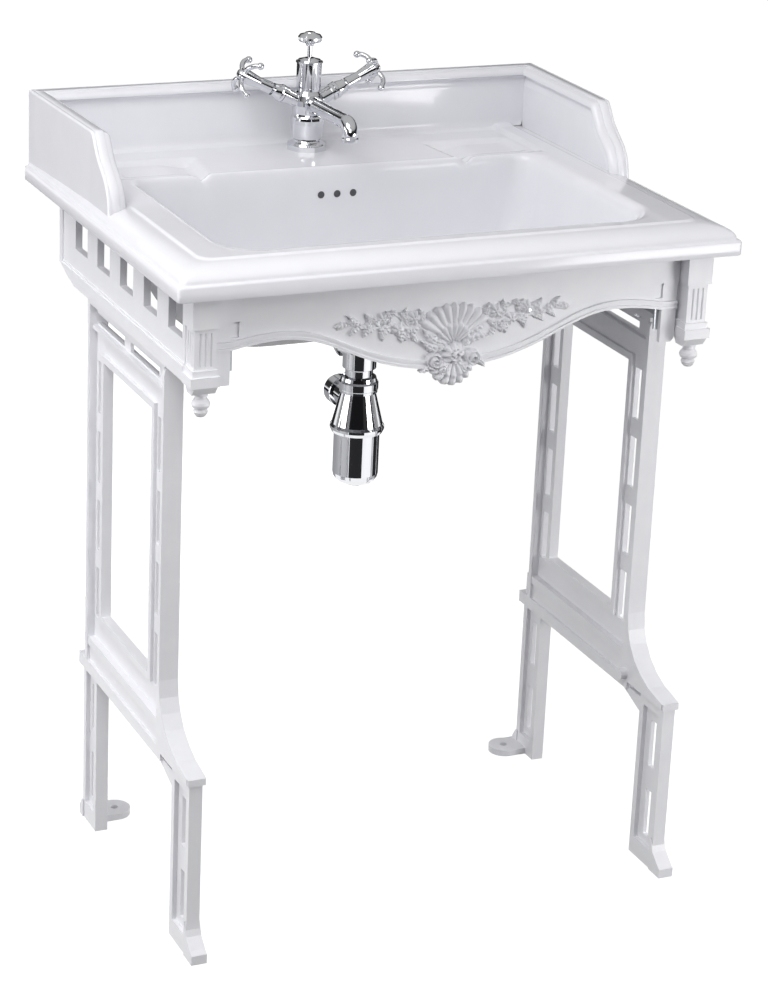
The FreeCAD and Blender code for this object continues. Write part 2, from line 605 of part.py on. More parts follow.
def apron_outline(inset, drop_ends):
    """Face of the apron in the XZ plane, its lower edge raised by inset."""
    w, top = v(apron_half()), v(rail_z)
    right = [Vector(x, 0, z + inset) for x, z in apron_low_points()]
    left = [Vector(-p.x, 0, p.z) for p in reversed(right[1:])]
    curve = Part.BSplineCurve()
    curve.interpolate(left + right)
    end_x = right[-1].x
    edges = [curve.toShape()]
    corners = [right[-1]]
    if drop_ends:
        low = top - v(D.apron_end_drop)
        corners += [Vector(end_x, 0, low), Vector(w - 4, 0, low), Vector(w, 0, low + 4)]
    else:
        corners += [Vector(w, 0, right[-1].z)]
    corners += [Vector(w, 0, top), Vector(-w, 0, top)]
    mirror = [Vector(-p.x, 0, p.z) for p in reversed(corners[:-2])]
    corners += mirror
    for a, b in zip(corners[:-1], corners[1:]):
        edges.append(Part.LineSegment(a, b).toShape())
    return Part.Face(Part.Wire(edges))


def apron_shape():
    thick, bead = v(D.apron_thick), v(D.apron_bead)
    plate = apron_outline(0, True).extrude(Vector(0, thick, 0))
    rim = apron_outline(0, False).cut(apron_outline(v(D.apron_bead_tall), False))
    rim = rim.extrude(Vector(0, -bead, 0))
    inner = apron_outline(3, False).cut(apron_outline(v(D.apron_bead_tall) - 3, False))
    groove = inner.extrude(Vector(0, -bead, 0))
    groove.translate(Vector(0, -bead * 0.5, 0))
    w, top = v(apron_half()), v(rail_z)
    band = Part.makeBox(2 * w, 2.5, v(D.apron_top_band), Vector(-w, -2.5, top - v(D.apron_top_band)))
    low_fillet = Part.makeBox(2 * w, 1.2, 4, Vector(-w, -1.2, top - v(D.apron_top_band) - 4))
    box = Part.makeBox(2 * w, 20, v(D.apron_top_band), Vector(-w, -15, top - v(D.apron_top_band)))
    rim = rim.cut(box).cut(groove)
    shape = plate.fuse(band).fuse(low_fillet).fuse(rim)
    for side in (-1, 1):
        x = side * (w - v(D.apron_end_wide) - v(D.key_wide) / 2)
        key = Part.makeBox(v(D.key_wide), 5, v(D.key_tall),
                           Vector(x - v(D.key_wide) / 2, -3, top - v(D.apron_top_band) - v(D.key_tall) - 1))
        shape = shape.cut(key)
        hx = side * (w - 8)
        hole = Part.makeCylinder(v(D.screw_round + D.screw_slack), thick - 2,
                                 Vector(hx, thick, v(screw_mid_z())), Vector(0, -1, 0))
        shape = shape.cut(hole)
    for x, z in ornament_screw_points():
        through = Part.makeCylinder(v(D.screw_round + D.screw_slack), 30, Vector(x, -10, z), Vector(0, 1, 0))
        shape = shape.cut(through)
    return shape.removeSplitter()


def ornament_screw_points():
    mid = v(rail_z) - v(D.apron_top_band) - 22
    return [(-14.0, mid - 12), (14.0, mid - 12), (-88.0, mid + 6), (88.0, mid + 6)]


def cap_sphere(half_width, proud):
    """Radius of a ball sunk behind the face so that its cap has this footprint and height."""
    return (half_width * half_width + proud * proud) / (2 * proud)


def bud(x, z, half_width, proud):
    r = cap_sphere(half_width, proud)
    return Part.makeSphere(r, Vector(x, r - proud, z))


def leaf(x, z, length, half_width, proud, tilt, tip=0.75):
    """A long rounded leaf lying on the face, its axis turned by tilt from upright."""
    r = cap_sphere(half_width, proud)
    r2 = cap_sphere(half_width * tip, proud * tip)
    a = math.radians(tilt)
    way = Vector(math.sin(a), 0, math.cos(a))
    run = length - half_width * (1 + tip)
    start = Vector(x, r - proud, z) - way * (run / 2)
    end = Vector(x, r2 - proud * tip, z) + way * (run / 2)
    if abs(r - r2) < 0.01:
        body = Part.makeCylinder(r, run, start, way)
    else:
        body = Part.makeCone(r, r2, (end - start).Length, start, end - start)
    return body.fuse(Part.makeSphere(r, start)).fuse(Part.makeSphere(r2, end))


def blank_screws(shape, only):
    for x, z in ornament_screw_points():
        if only(x):
            hole = Part.makeCylinder(v(D.screw_round + D.screw_slack), 5, Vector(x, 1, z), Vector(0, -1, 0))
            shape = shape.cut(hole)
    return shape


def trim_to_face(shape):
    """Keep what stands in front of the apron's face and clear of its own beads."""
    front = Part.makeBox(400, 60, 400, Vector(-200, -60, v(rail_z) - 300))
    shape = shape.common(front)
    top = v(rail_z) - v(D.apron_top_band)
    shape = shape.cut(Part.makeBox(400, 2.5, 60, Vector(-200, -2.5, top)))
    bead = v(D.apron_bead)
    rim = apron_outline(0, False).cut(apron_outline(v(D.apron_bead_tall), False))
    rim = rim.extrude(Vector(0, -bead, 0))
    fillet = Part.makeBox(600, 1.2, 4, Vector(-300, -1.2, top - 4))
    return shape.cut(rim).cut(fillet)


def shell_shape():
    """Shell fan over two scrolls and a scalloped lip, one casting."""
    top = v(rail_z) - v(D.apron_top_band)
    proud, w = v(D.shell_proud), v(D.shell_half)
    root = top - 54.0
    shapes = [bud(0, top - 30, w * 0.86, proud * 0.5)]
    for i in range(-3, 4):
        a = i * 23.0
        reach = 49.0 - 3.4 * abs(i)
        mid = reach * 0.55
        shapes.append(leaf(math.sin(math.radians(a)) * mid, root + 2 + math.cos(math.radians(a)) * mid,
                           reach, 4.2, proud * 0.62, a, 1.5))
    shapes.append(bud(0, root - 4, 11.0, proud))
    for side in (-1, 1):
        shapes.append(bud(side * 18, root - 6, 9.0, proud * 0.85))
        shapes.append(leaf(side * 27, root - 14, 20, 6.0, proud * 0.6, side * -30, 0.8))
    shapes.append(leaf(0, root - 21, 60, 13.0, proud * 0.8, 90, 1.0))
    for i in range(-2, 3):
        shapes.append(leaf(i * 11.5, root - 29 + abs(i) * 2.6, 17, 5.6, proud * 0.9, i * -12, 0.9))
    shape = trim_to_face(shapes[0].multiFuse(shapes[1:]))
    return blank_screws(shape, lambda x: abs(x) < 40).removeSplitter()


def spray_shape(side):
    """Flowers and leaves beside the shell, one casting per side."""
    top = v(rail_z) - v(D.apron_top_band)
    proud = v(D.spray_proud)
    run = v(D.spray_long)
    start = v(D.shell_half) + 6
    shapes = [leaf(start + run * 0.48, top - 17, run * 1.04, 10.0, proud * 0.5, 84, 0.45)]
    leaves = [(0.06, -22, 20, 4.5, 35), (0.05, -9, 20, 4.0, -45), (0.26, -29, 20, 4.2, 25),
              (0.34, -7, 18, 3.6, -40), (0.52, -25, 20, 4.0, 40), (0.58, -8, 17, 3.4, -50),
              (0.74, -21, 18, 3.6, 60), (0.86, -11, 20, 3.2, 80), (0.97, -15, 14, 2.6, 95)]
    for share, down, long, wide, turn in leaves:
        shapes.append(leaf(start + share * run, top + down, long, wide, proud * 0.7, turn, 0.5))
    for share, down, size in ((0.18, -17, 8.0), (0.42, -16, 7.0), (0.66, -15, 6.0)):
        cx, cz = start + share * run, top + down
        shapes.append(bud(cx, cz, size * 0.42, proud * 1.1))
        for k in range(5):
            a = math.radians(72 * k + 18)
            shapes.append(bud(cx + math.cos(a) * size * 0.66, cz + math.sin(a) * size * 0.66,
                              size * 0.45, proud * 0.85))
    shape = trim_to_face(shapes[0].multiFuse(shapes[1:]))
    shape = blank_screws(shape, lambda x: x > 40).removeSplitter()
    if side < 0:
        shape = shape.mirror(Vector(0, 0, 0), Vector(1, 0, 0))
    return shape


def make_bracket(side, tag):
    inner = rail_x - D.rail_wall
    t = D.bracket_thick
    low = rail_low_z + D.rail_lip_thick + 1
    high = low + D.bracket_tall
    along = brick("bracket_along_" + tag, (inner - t, inner), (post_d0 - D.bracket_long, post_d0),
                  (low, high), side)
    across = brick("bracket_across_" + tag, (inner - D.bracket_long, inner), (post_d0 - t, post_d0),
                   (low, high), side)
    solid = fuse("bracket_solid_" + tag, [along, across])
    tools = []
    r = D.screw_round + D.screw_slack
    for i, z in enumerate(screw_levels()):
        tools.append(rod("bracket_hole_%s_%d" % (tag, i), r, t + 4, side * (inner - t - 2),
                         back - rail_screw_d(), z, "right" if side > 0 else "left"))
    for i, x in enumerate((post_x - 3, apron_half() - 8)):
        tools.append(rod("bracket_front_hole_%s_%d" % (tag, i), r, t + 4, side * x,
                         back - (post_d0 - t - 2), screw_mid_z(), "front"))
    return node("bracket_" + tag, cut("bracket_" + tag, solid, tools))


def screw(name, x, y, z, axis, long):
    """A round-headed screw whose head's underside is at the given point."""
    shank = rod(name + "_shank", D.screw_round, long, x, y, z, axis)
    opposite = {"right": "left", "left": "right", "front": "rear", "rear": "front", "up": "up"}[axis]
    head = rod(name + "_head", D.screw_head, D.screw_head_tall, x, y, z, opposite)
    return [shank, head]


def make_screws():
    parts = []
    inner = rail_x - D.rail_wall
    t = D.bracket_thick
    for side, tag in ((-1, "left"), (1, "right")):
        axis = "right" if side > 0 else "left"
        for i, z in enumerate(screw_levels()):
            parts.append(fuse("screw_rail_%s_%d" % (tag, i), screw(
                "screw_rail_%s_%d" % (tag, i), side * (inner - t), back - rail_screw_d(), z, axis,
                t + D.rail_wall - 3)))
        for i, x in enumerate((post_x - 3, apron_half() - 8)):
            reach = t + (7 if i == 0 else 3)
            parts.append(fuse("screw_front_%s_%d" % (tag, i), screw(
                "screw_front_%s_%d" % (tag, i), side * x, back - (post_d0 - t), screw_mid_z(), "front",
                reach)))
    bundle = doc.addObject("Part::Compound", "bracket_screws")
    bundle.Links = parts
    node("bracket_screws", bundle)
    parts = []
    for i, (x, z) in enumerate(ornament_screw_points()):
        parts.append(fuse("screw_ornament_%d" % i, screw(
            "screw_ornament_%d" % i, as_size(x), back - apron_d0,
            rail_z - D.apron_top_band + (z - v(rail_z) + v(D.apron_top_band)), "front",
            D.apron_thick + 4)))
    bundle = doc.addObject("Part::Compound", "ornament_screws")
    bundle.Links = parts
    node("ornament_screws", bundle)


# ---------------------------------------------------------------- leg frames
def ogee_points(thick):
    """Sweep from the upper front leg forward to the lower one: (depth, level) corners."""
    d0 = D.leg_front + D.leg_front_deep
    d1 = D.low_front + D.low_front_deep
    top, low = D.bar_top + 12, D.bar_low + D.bar_foot_tall + 2
    run, fall = d1 - d0, top - low
    shares = [(0.0, 0.0), (0.03, 0.26), (0.11, 0.47), (0.24, 0.66), (0.42, 0.81), (0.64, 0.92), (1.0, 1.0)]
    outer = [(d0 + a * run, top - b * fall) for a, b in shares]
    inner = [(d1 - thick, low - thick), (d0 - thick, low - thick), (d0 - thick, top)]
    return outer + [(d1, low - thick)] + inner


def make_frame(side, tag):
    x = leg_x

    def slab(name, wide, ds, zs):
        return brick("%s_%s" % (name, tag), (x - wide / 2, x + wide / 2), ds, zs, side)

    top = rail_low_z
    plate_z = top - D.top_plate
    win_top = top - D.top_rail_tall
    b0, b1 = D.leg_back, D.leg_back + D.leg_back_deep
    f0, f1 = D.leg_front, D.leg_front + D.leg_front_deep
    lb0, lb1 = D.low_back, D.low_back + D.low_back_deep
    lf0, lf1 = D.low_front, D.low_front + D.low_front_deep
    rib, skin = D.rib_thick, D.leg_skin
    parts = [
        slab("top_plate", D.leg_wide, (b0, f1), (plate_z, top)),
        slab("top_web", D.leg_web, (b0, f1), (win_top, plate_z)),
        slab("top_ledge", D.leg_rib + 3, (b0, f1), (win_top + 31, win_top + 35)),
        slab("window_head", D.leg_rib, (b1 - 1, f0 + 1), (win_top, win_top + rib)),
        slab("window_sill", D.leg_rib, (b1 - 1, f0 + 1), (D.bar_top - rib, D.bar_top)),
        slab("back_skin", D.leg_wide, (b0, b0 + skin), (D.bar_low, plate_z)),
        slab("back_web", D.leg_web, (b0, b1), (D.bar_low, plate_z)),
        slab("back_rib", D.leg_rib, (b1 - rib, b1), (D.bar_top - rib, win_top + rib)),
        slab("front_skin", D.leg_wide, (f1 - skin, f1), (D.bar_top, plate_z - 8)),
        slab("front_web", D.leg_web, (f0, f1), (D.bar_low, plate_z)),
        slab("front_rib", D.leg_rib, (f0, f0 + rib), (D.bar_top - rib, win_top + rib)),
        slab("bar_web", D.leg_web, (b0, f1), (D.bar_low, D.bar_top)),
    ]
    z1 = D.bar_low + D.bar_foot_tall
    z2 = z1 + D.bar_band_tall
    z3 = z2 + D.bar_ledge_tall
    parts += [
        slab("bar_foot", D.leg_wide, (lb0 - 8, f1 + 8), (D.bar_low, z1)),
        slab("bar_band", D.bar_band_wide, (lb0 + 3, f1), (z1, z2)),
        slab("bar_ledge", D.leg_wide - 2, (lb0 + 8, f1), (z2, z3)),
        profile_plate("ogee_" + tag, ogee_points(D.leg_skin),
                      (x - D.leg_wide / 2, x + D.leg_wide / 2), side),
        slab("front_cap", D.leg_wide - 2, (lf0 - 14, lf1 + D.cap_past),
             (z1 - 6, z1 - 6 + D.cap_thick)),
    ]
    # lower legs
    knee = [(f1 - 18, D.bar_low + 2), (lf0 + 4, D.bar_low + 2), (lf0 + 4, D.bar_low - 18)]
    parts.append(profile_plate("knee_" + tag, knee, (x - D.low_wide / 2, x + D.low_wide / 2), side))
    for leg, a, b in (("lb", lb0, lb1), ("lf", lf0, lf1)):
        high = z1 - 4
        parts += [
            slab(leg + "_rear", D.low_wide, (a, a + D.low_skin), (0, high)),
            slab(leg + "_fore", D.low_wide, (b - D.low_skin, b), (0, high)),
            slab(leg + "_web", D.low_web, (a, b), (0, high)),
            slab(leg + "_head", D.low_wide, (a, b), (high - 14, high)),
            slab(leg + "_foot", D.low_wide, (a, b), (0, D.foot_tall)),
        ]
    toe_d = D.basin_deep + D.toe_past
    toe = [(lf1 - 4, 0), (toe_d, 0), (toe_d, D.toe_tall), (toe_d - 6, D.toe_tall + 4),
           (lf1 + 3, D.toe_tall + 14), (lf1 - 4, D.toe_tall + 30)]
    parts.append(profile_plate("toe_" + tag, toe, (x - D.toe_wide / 2, x + D.toe_wide / 2), side))
    heel = [(lb0 + 4, 0), (lb0 - D.heel_past, 0), (lb0 - D.heel_past, 10), (lb0, 22), (lb0 + 4, 22)]
    parts.append(profile_plate("heel_" + tag, heel, (x - D.toe_wide / 2, x + D.toe_wide / 2), side))
    lug_d = D.low_back + 8
    lug_x = x - D.lug_reach
    parts.append(rod("lug_" + tag, D.lug_round, D.lug_thick, side * lug_x, back - lug_d, 0))
    parts.append(brick("lug_neck_" + tag, (lug_x, x), (lug_d - D.lug_round * 0.9, lug_d + D.lug_round),
                       (0, D.lug_thick), side))
    for d, z in boss_spots():
        parts.append(rod("boss_%s_%d" % (tag, round(v(d))), D.boss_round, D.boss_long + D.leg_wide / 2,
                         side * x, back - d, z, "left" if side > 0 else "right"))
    arch = rod("arch_" + tag, D.leg_wide / 2, D.leg_skin, side * x, back - f1, plate_z - 8, "rear")
    parts.append(arch)
    solid = fuse("frame_solid_" + tag, parts)

    tools = []
    over = D.leg_wide / 2 + 2
    first = (b0 + b1) / 2

    def gap(name, ds, zs):
        return brick("%s_%s" % (name, tag), (x - over, x + over), ds, zs, side)

    z = top - D.top_slot_down
    mid = (b0 + f1) / 2 - 16
    for i, start in enumerate((mid - D.top_slot_gap / 2 - D.top_slot_long, mid + D.top_slot_gap / 2)):
        tools.append(gap("top_slot_%d" % i, (start, start + D.top_slot_long),
                         (z - D.top_slot_tall / 2, z + D.top_slot_tall / 2)))
    for i in range(4):
        low = D.slot_first + i * D.slot_pitch
        for name, ds in (("back", (b0 + skin + 6, b0 + skin + 6 + D.slot_wide)),
                         ("front", (f0 + rib + 3, f0 + rib + 3 + D.slot_wide))):
            tools.append(gap("slot_%s_%d" % (name, i), ds, (low, low + D.slot_tall)))
    for i in range(2):
        low = D.low_slot_first + i * D.low_slot_pitch
        for name, a, b in (("lb", lb0, lb1), ("lf", lf0, lf1)):
            mid = (a + b) / 2
            tools.append(gap("slot_%s_%d" % (name, i), (mid - D.low_slot_wide / 2, mid + D.low_slot_wide / 2),
                             (low, low + D.low_slot_tall)))
    tools.append(rod("lug_hole_" + tag, D.lug_hole, D.lug_thick + 4, side * lug_x, back - lug_d, -2))
    bx = side * (rail_x - D.rail_lip + D.bolt_head + 1)
    for d in bolt_depths():
        tools.append(rod("frame_bolt_hole_%s_%d" % (tag, round(v(d))), D.bolt_round + D.bolt_slack,
                         D.top_plate + 4, bx, back - d, plate_z - 2))
        tools.append(rod("frame_bolt_seat_%s_%d" % (tag, round(v(d))), D.bolt_head + 1,
                         D.bolt_head_tall + 2, bx, back - d, plate_z - D.bolt_head_tall - 2))
    return node("frame_" + tag, cut("frame_" + tag, solid, tools))


def boss_spots():
    return ((D.leg_front + D.leg_front_deep + 2, D.bar_low + D.bar_foot_tall + 4),)


def make_frame_bolts():
    parts = []
    plate_z = rail_low_z - D.top_plate
    for side, tag in ((-1, "left"), (1, "right")):
        bx = side * (rail_x - D.rail_lip + D.bolt_head + 1)
        for i, d in enumerate(bolt_depths()):
            name = "bolt_%s_%d" % (tag, i)
            top = rail_low_z + D.rail_lip_thick
            shank = rod(name + "_shank", D.bolt_round, D.top_plate + D.rail_lip_thick + 7, bx, back - d,
                        plate_z)
            head = hexagon(name + "_head", D.bolt_head, D.bolt_head_tall, bx, back - d,
                           plate_z - D.bolt_head_tall)
            nut = hexagon(name + "_nut", D.bolt_head, D.bolt_head_tall, bx, back - d, top)
            parts.append(fuse(name, [shank, head, nut]))
    bundle = doc.addObject("Part::Compound", "frame_bolts")
    bundle.Links = parts
    return node("frame_bolts", bundle)


def make_pads():
    parts = []
    lip = rail_x - D.rail_lip
    for side, tag in ((-1, "left"), (1, "right")):
        for i, d in enumerate((D.rail_back + 20, D.basin_deep / 2, post_d0 - 20 - D.pad_long)):
            parts.append(brick("pad_%s_%d" % (tag, i), (lip + 5, lip + 5 + D.pad_wide),
                               (d, d + D.pad_long), (rail_z, rim_z), side))
        parts.append(brick("pad_post_" + tag, (post_x - D.pad_wide / 2, post_x + D.pad_wide / 2),
                           (post_d0 + 5, post_d0 + 5 + D.pad_wide), (rail_z, rim_z), side))
    bundle = doc.addObject("Part::Compound", "basin_pads")
    bundle.Links = parts
    return node("basin_pads", bundle)


# ---------------------------------------------------------------- tap
def tilt(side):
    return Rotation(Vector(0, 1, 0), side * (90 - v(D.arm_rise)))


def along_arm(side, far):
    """A point on a valve's axis, far from the tap's own axis."""
    a = math.radians(v(D.arm_rise))
    x = side * v(far) * math.cos(a)
    return x, v(tap_y), v(arm_z) + v(far) * math.sin(a)


def make_tap_foot():
    top = D.tap_foot_tall
    prism = hexagon("tap_foot_prism", D.tap_foot, top, 0, tap_y, deck_z, "up", 8)
    hole = rod("tap_foot_hole", D.shank_round, top + 2, 0, tap_y, deck_z - 1)
    return node("tap_foot", cut("tap_foot", prism, [hole]))


def tap_body_shape():
    z0 = v(deck_z) + v(D.tap_foot_tall)
    neck, cup, hub = v(D.tap_neck), v(D.tap_cup), v(D.tap_hub)
    top = v(deck_z) + v(D.hub_top)
    level = v(arm_z)
    pts = [(0, z0), (neck + 5.5, z0), (neck + 4.5, z0 + 1.6), (neck + 1, z0 + 3.6), (neck, z0 + 5.2),
           (neck + 1.2, z0 + 7.5), (cup - 2.8, z0 + 11), (cup - 1.6, z0 + 18), (cup - 0.4, z0 + 25),
           (cup, z0 + 30), (cup - 0.6, z0 + 33), (hub - 0.4, z0 + 35), (hub - 1, z0 + 37), (hub, level + 2),
           (hub - 0.5, level + 8), (hub - 2.5, level + 14), (hub - 5, top - 3), (hub - 5, top), (0, top)]
    outline = Part.makePolygon([Vector(a, 0, b) for a, b in pts] + [Vector(0, 0, z0)])
    shape = Part.Face(outline).revolve(Vector(0, 0, 0), Vector(0, 0, 1), 360)
    for side in (-1, 1):
        a = math.radians(v(D.arm_rise))
        way = Vector(side * math.cos(a), 0, math.sin(a))
        start = Vector(0, 0, level)
        arm = Part.makeCylinder(v(D.arm_round), v(D.arm_long), start, way)
        collar = Part.makeCylinder(v(D.arm_round) + 1.6, 4, start + way * (v(D.arm_long) - 4), way)
        shape = shape.fuse(arm).fuse(collar)
    for side in (-1, 1):
        a = math.radians(v(D.arm_rise))
        way = Vector(side * math.cos(a), 0, math.sin(a))
        bore = Part.makeCylinder(v(D.spindle_round) + 1.5, 20, Vector(0, 0, level) + way * (v(D.arm_long) - 14),
                                 way)
        shape = shape.cut(bore)
    level = v(D.spout_level) + v(deck_z)
    socket = Part.makeCylinder(v(D.spout_round) + 2, v(D.tap_hub) + 4, Vector(0, 0, level), Vector(0, -1, 0))
    shape = shape.fuse(socket)
    way = Part.makeCylinder(v(D.spout_bore), 40, Vector(0, -6, level), Vector(0, -1, 0))
    shape = shape.cut(way)
    through = Part.makeCylinder(v(D.stem_round) + 1.2, 200, Vector(0, 0, z0 - 20))
    shape = shape.cut(through)
    return shape.removeSplitter()


def spout_path():
    """Middle line of the spout from the body forward and down, in the tap's own plane."""
    reach, bend = v(D.spout_reach), v(D.spout_bend)
    start = v(D.tap_hub) + 4
    a = Vector(0, -start, 0)
    b = Vector(0, -(reach - bend), 2)
    c = Vector(0, -(reach - bend * (1 - math.sqrt(0.5))), 2 - bend * (1 - math.sqrt(0.5)))
    e = Vector(0, -reach, 2 - bend)
    return a, b, c, e


def spout_shape(radius_start, radius_end, extra=0.0):
    a, b, c, e = spout_path()
    a = a + Vector(0, extra, 0)
    e2 = e - Vector(0, 0, 2 + extra)
    first = Part.makeCylinder(radius_start, 1, Vector(0, 0, 0), Vector(0, 1, 0))
    wires = []
    for point, way, r in ((a, Vector(0, -1, 0), radius_start),
                          ((a + b) * 0.5, Vector(0, -1, 0), (radius_start + radius_end) * 0.48),
                          (b, Vector(0, -1, 0), radius_end)):
        wires.append(Part.Wire(Part.makeCircle(r, point, way)))
    straight = Part.makeLoft(wires, True, False)
    arc = Part.Arc(b, c, e).toShape()
    bend = Part.Wire([arc]).makePipe(Part.Face(Part.Wire(Part.makeCircle(radius_end, b, Vector(0, -1, 0)))))
    drop = Part.makeCylinder(radius_end, (e - e2).Length, e, Vector(0, 0, -1))
    return straight.fuse(bend).fuse(drop)


def make_spout():
    shape = spout_shape(v(D.spout_round), v(D.nozzle_round) - 0.8)
    hollow = spout_shape(v(D.spout_bore), v(D.spout_bore), 1.0)
    shape = shape.cut(hollow)
    obj = feature("tap_spout", shape, 0, tap_y, deck_z + D.spout_level)
    node("tap_spout", obj)
    a, b, c, e = spout_path()
    r, tall = D.nozzle_round, D.nozzle_tall
    ring = [(D.spout_bore - 1.5, 0), (r - 1, 0), (r, 1), (r, tall - 1.5), (r - 0.8, tall),
            (D.spout_bore - 1.5, tall)]
    body = turned("spout_nozzle", ring, 0, tap_y - D.spout_reach,
                  deck_z + D.spout_level - D.spout_bend - tall)
    node("spout_nozzle", body)


def make_column():
    r = D.column_round
    z = deck_z + D.hub_top
    tall = D.column_tall
    bore = D.stem_round + 1.2
    points = [(bore, 0), (r - 0.5, 0), (r, 0.8), (r, tall - 2), (r + 1.2, tall - 1.2), (r + 1.2, tall),
              (bore, tall)]
    node("tap_column", turned("tap_column", points, 0, tap_y, z))
    bore = D.stem_round + D.stem_slack
    crown = D.crown_tall
    points = [(bore, 0), (r - 0.5, 0), (r - 1.5, crown * 0.5), (r - 7, crown - 0.5), (6, crown),
              (bore, crown)]
    node("column_crown", turned("column_crown", points, 0, tap_y, z + tall))


def stem_low_z():
    return port_z + D.lever_rise + D.clevis_tall / 2 - 1


def make_knob():
    r, tall = D.knob_round, D.knob_tall
    base = deck_z + D.hub_top + D.column_tall + D.crown_tall + D.knob_up
    points = [(0, -2), (4, -2), (4.6, 0.5), (7, 1.6), (r - 2, 3.2), (r, 6), (r, 8.5), (r - 2, 11.2),
              (7.5, 12.6), (6, 13.4), (5.6, tall - 0.4), (4, tall), (0, tall)]
    node("knob", turned("knob", [(a, as_size(b) + 2) for a, b in points], 0, tap_y, base - 2))
    low = stem_low_z()
    node("knob_stem", rod("knob_stem", D.stem_round, base - 2 - low, 0, tap_y, low))
    w, deep, tall = D.clevis_wide, D.clevis_deep, D.clevis_tall
    mid = port_z + D.lever_rise
    d = D.tap_back
    block = brick("clevis_block", (-(w / 2), w / 2), (d - deep / 2, d + deep / 2),
                  (mid - tall / 2, mid + tall / 2))
    slot = brick("clevis_slot", (-(D.lever_round + 0.8), D.lever_round + 0.8),
                 (d - deep / 2 - 1, d + deep / 2 + 1), (mid - D.lever_round - 1.9, mid + D.lever_round + 1.9))
    hole = rod("clevis_hole", D.stem_round, tall, 0, tap_y, low)
    node("stem_clevis", cut("stem_clevis", block, [slot, hole]))


def make_valve(side, tag):
    """Bonnet cover, spindle and four-armed handle on one slanted axis."""
    x, y, z = along_arm(side, D.arm_long)
    turn = tilt(side)
    r, long = D.bonnet_round, D.bonnet_long
    bore = D.spindle_round + D.spindle_slack
    points = [(bore, 0), (r - 1.5, 0), (r, 1), (r, 4), (r - 1, 5), (r - 1.8, 9), (r - 3, long - 2),
              (r - 3, long), (bore, long)]
    node("bonnet_" + tag, turned("bonnet_" + tag, points, x, y, z, turn))
    hub, far = D.handle_hub, D.handle_far
    low = D.arm_long + long + 1.5
    x, y, z = along_arm(side, D.arm_long - 8)
    spindle = rod("spindle_" + tag, D.spindle_round, far - 1 - (D.arm_long - 8), x, y, z)
    spindle.Placement = Placement(Vector(x, y, z), turn)
    node("spindle_" + tag, spindle)
    x, y, z = along_arm(side, low)
    node("handle_" + tag, feature("handle_" + tag, handle_shape(v(far - low)), x, y, z, turn))
    x, y, z = along_arm(side, far + 4)
    rb = D.button_round
    points = [(0, 0), (rb - 0.6, 0), (rb, 0.6), (rb, 1.6), (rb - 1.2, 2.8), (rb - 3.5, 3.6), (0, 4)]
    node("button_" + tag, turned("button_" + tag, points, x, y, z, turn))


def handle_shape(far):
    """The handle about its own axis: hub from 0 to far + 4, arms that droop outward."""
    hub, reach = v(D.handle_hub), v(D.handle_arm)
    top = far + 4
    pts = [(0, 0), (hub - 1.5, 0), (hub - 0.5, 1.5), (hub - 1.5, far * 0.45), (hub + 0.6, far - 5),
           (hub + 1.4, far), (hub + 0.2, top - 1), (hub - 0.8, top), (0, top)]
    outline = Part.makePolygon([Vector(a, 0, b) for a, b in pts] + [Vector(0, 0, 0)])
    shape = Part.Face(outline).revolve(Vector(0, 0, 0), Vector(0, 0, 1), 360)
    rod_r, tip = v(D.handle_rod), v(D.handle_tip)
    for k in range(4):
        a = math.radians(45 + 90 * k)
        way = Vector(math.cos(a), math.sin(a), 0)
        p0 = way * (hub * 0.4) + Vector(0, 0, far - 1)
        p1 = way * (hub + (reach - hub) * 0.55) + Vector(0, 0, far + 1.2)
        p2 = way * reach + Vector(0, 0, far - 6.5)
        arc = Part.Wire([Part.Arc(p0, p1, p2).toShape()])
        start = arc.Edges[0].tangentAt(arc.Edges[0].FirstParameter)
        arm = arc.makePipe(Part.Face(Part.Wire(Part.makeCircle(rod_r, p0, start))))
        shape = shape.fuse(arm).fuse(Part.makeSphere(tip, p2))
    seat = Part.makeCylinder(v(D.button_round) + 0.1, 5, Vector(0, 0, far + 4))
    socket = Part.makeCylinder(v(D.spindle_round), far - 1, Vector(0, 0, 0))
    return shape.cut(socket).cut(seat).removeSplitter()


def make_tap_root():
    top = deck_z + D.tap_foot_tall
    low = top - D.shank_tall
    shank = rod("shank_solid", D.shank_round - D.fit_gap, D.shank_tall, 0, tap_y, low)
    tools = [rod("shank_stem_way", D.stem_round + 1.2, D.shank_tall + 2, 0, tap_y, low - 1)]
    for side, tag in ((-1, "hot"), (1, "cold")):
        tools.append(rod("inlet_" + tag, D.inlet_round, D.shank_tall - 8, side * D.inlet_apart, tap_y,
                         low - 1))
    node("tap_shank", cut("tap_shank", shank, tools))
    ring = rod("shank_seal_ring", D.shank_nut_round - 1, D.seal_thick, 0, tap_y,
               under_deck_z - D.seal_thick)
    hole = rod("shank_seal_hole", D.shank_round, D.seal_thick + 2, 0, tap_y,
               under_deck_z - D.seal_thick - 1)
    node("shank_seal", cut("shank_seal", ring, [hole]))
    z = under_deck_z - D.seal_thick - D.shank_nut_tall
    nut = hexagon("shank_nut_hex", D.shank_nut_round, D.shank_nut_tall, 0, tap_y, z)
    hole = rod("shank_nut_hole", D.shank_round, D.shank_nut_tall + 2, 0, tap_y, z - 1)
    node("shank_nut", cut("shank_nut", nut, [hole]))


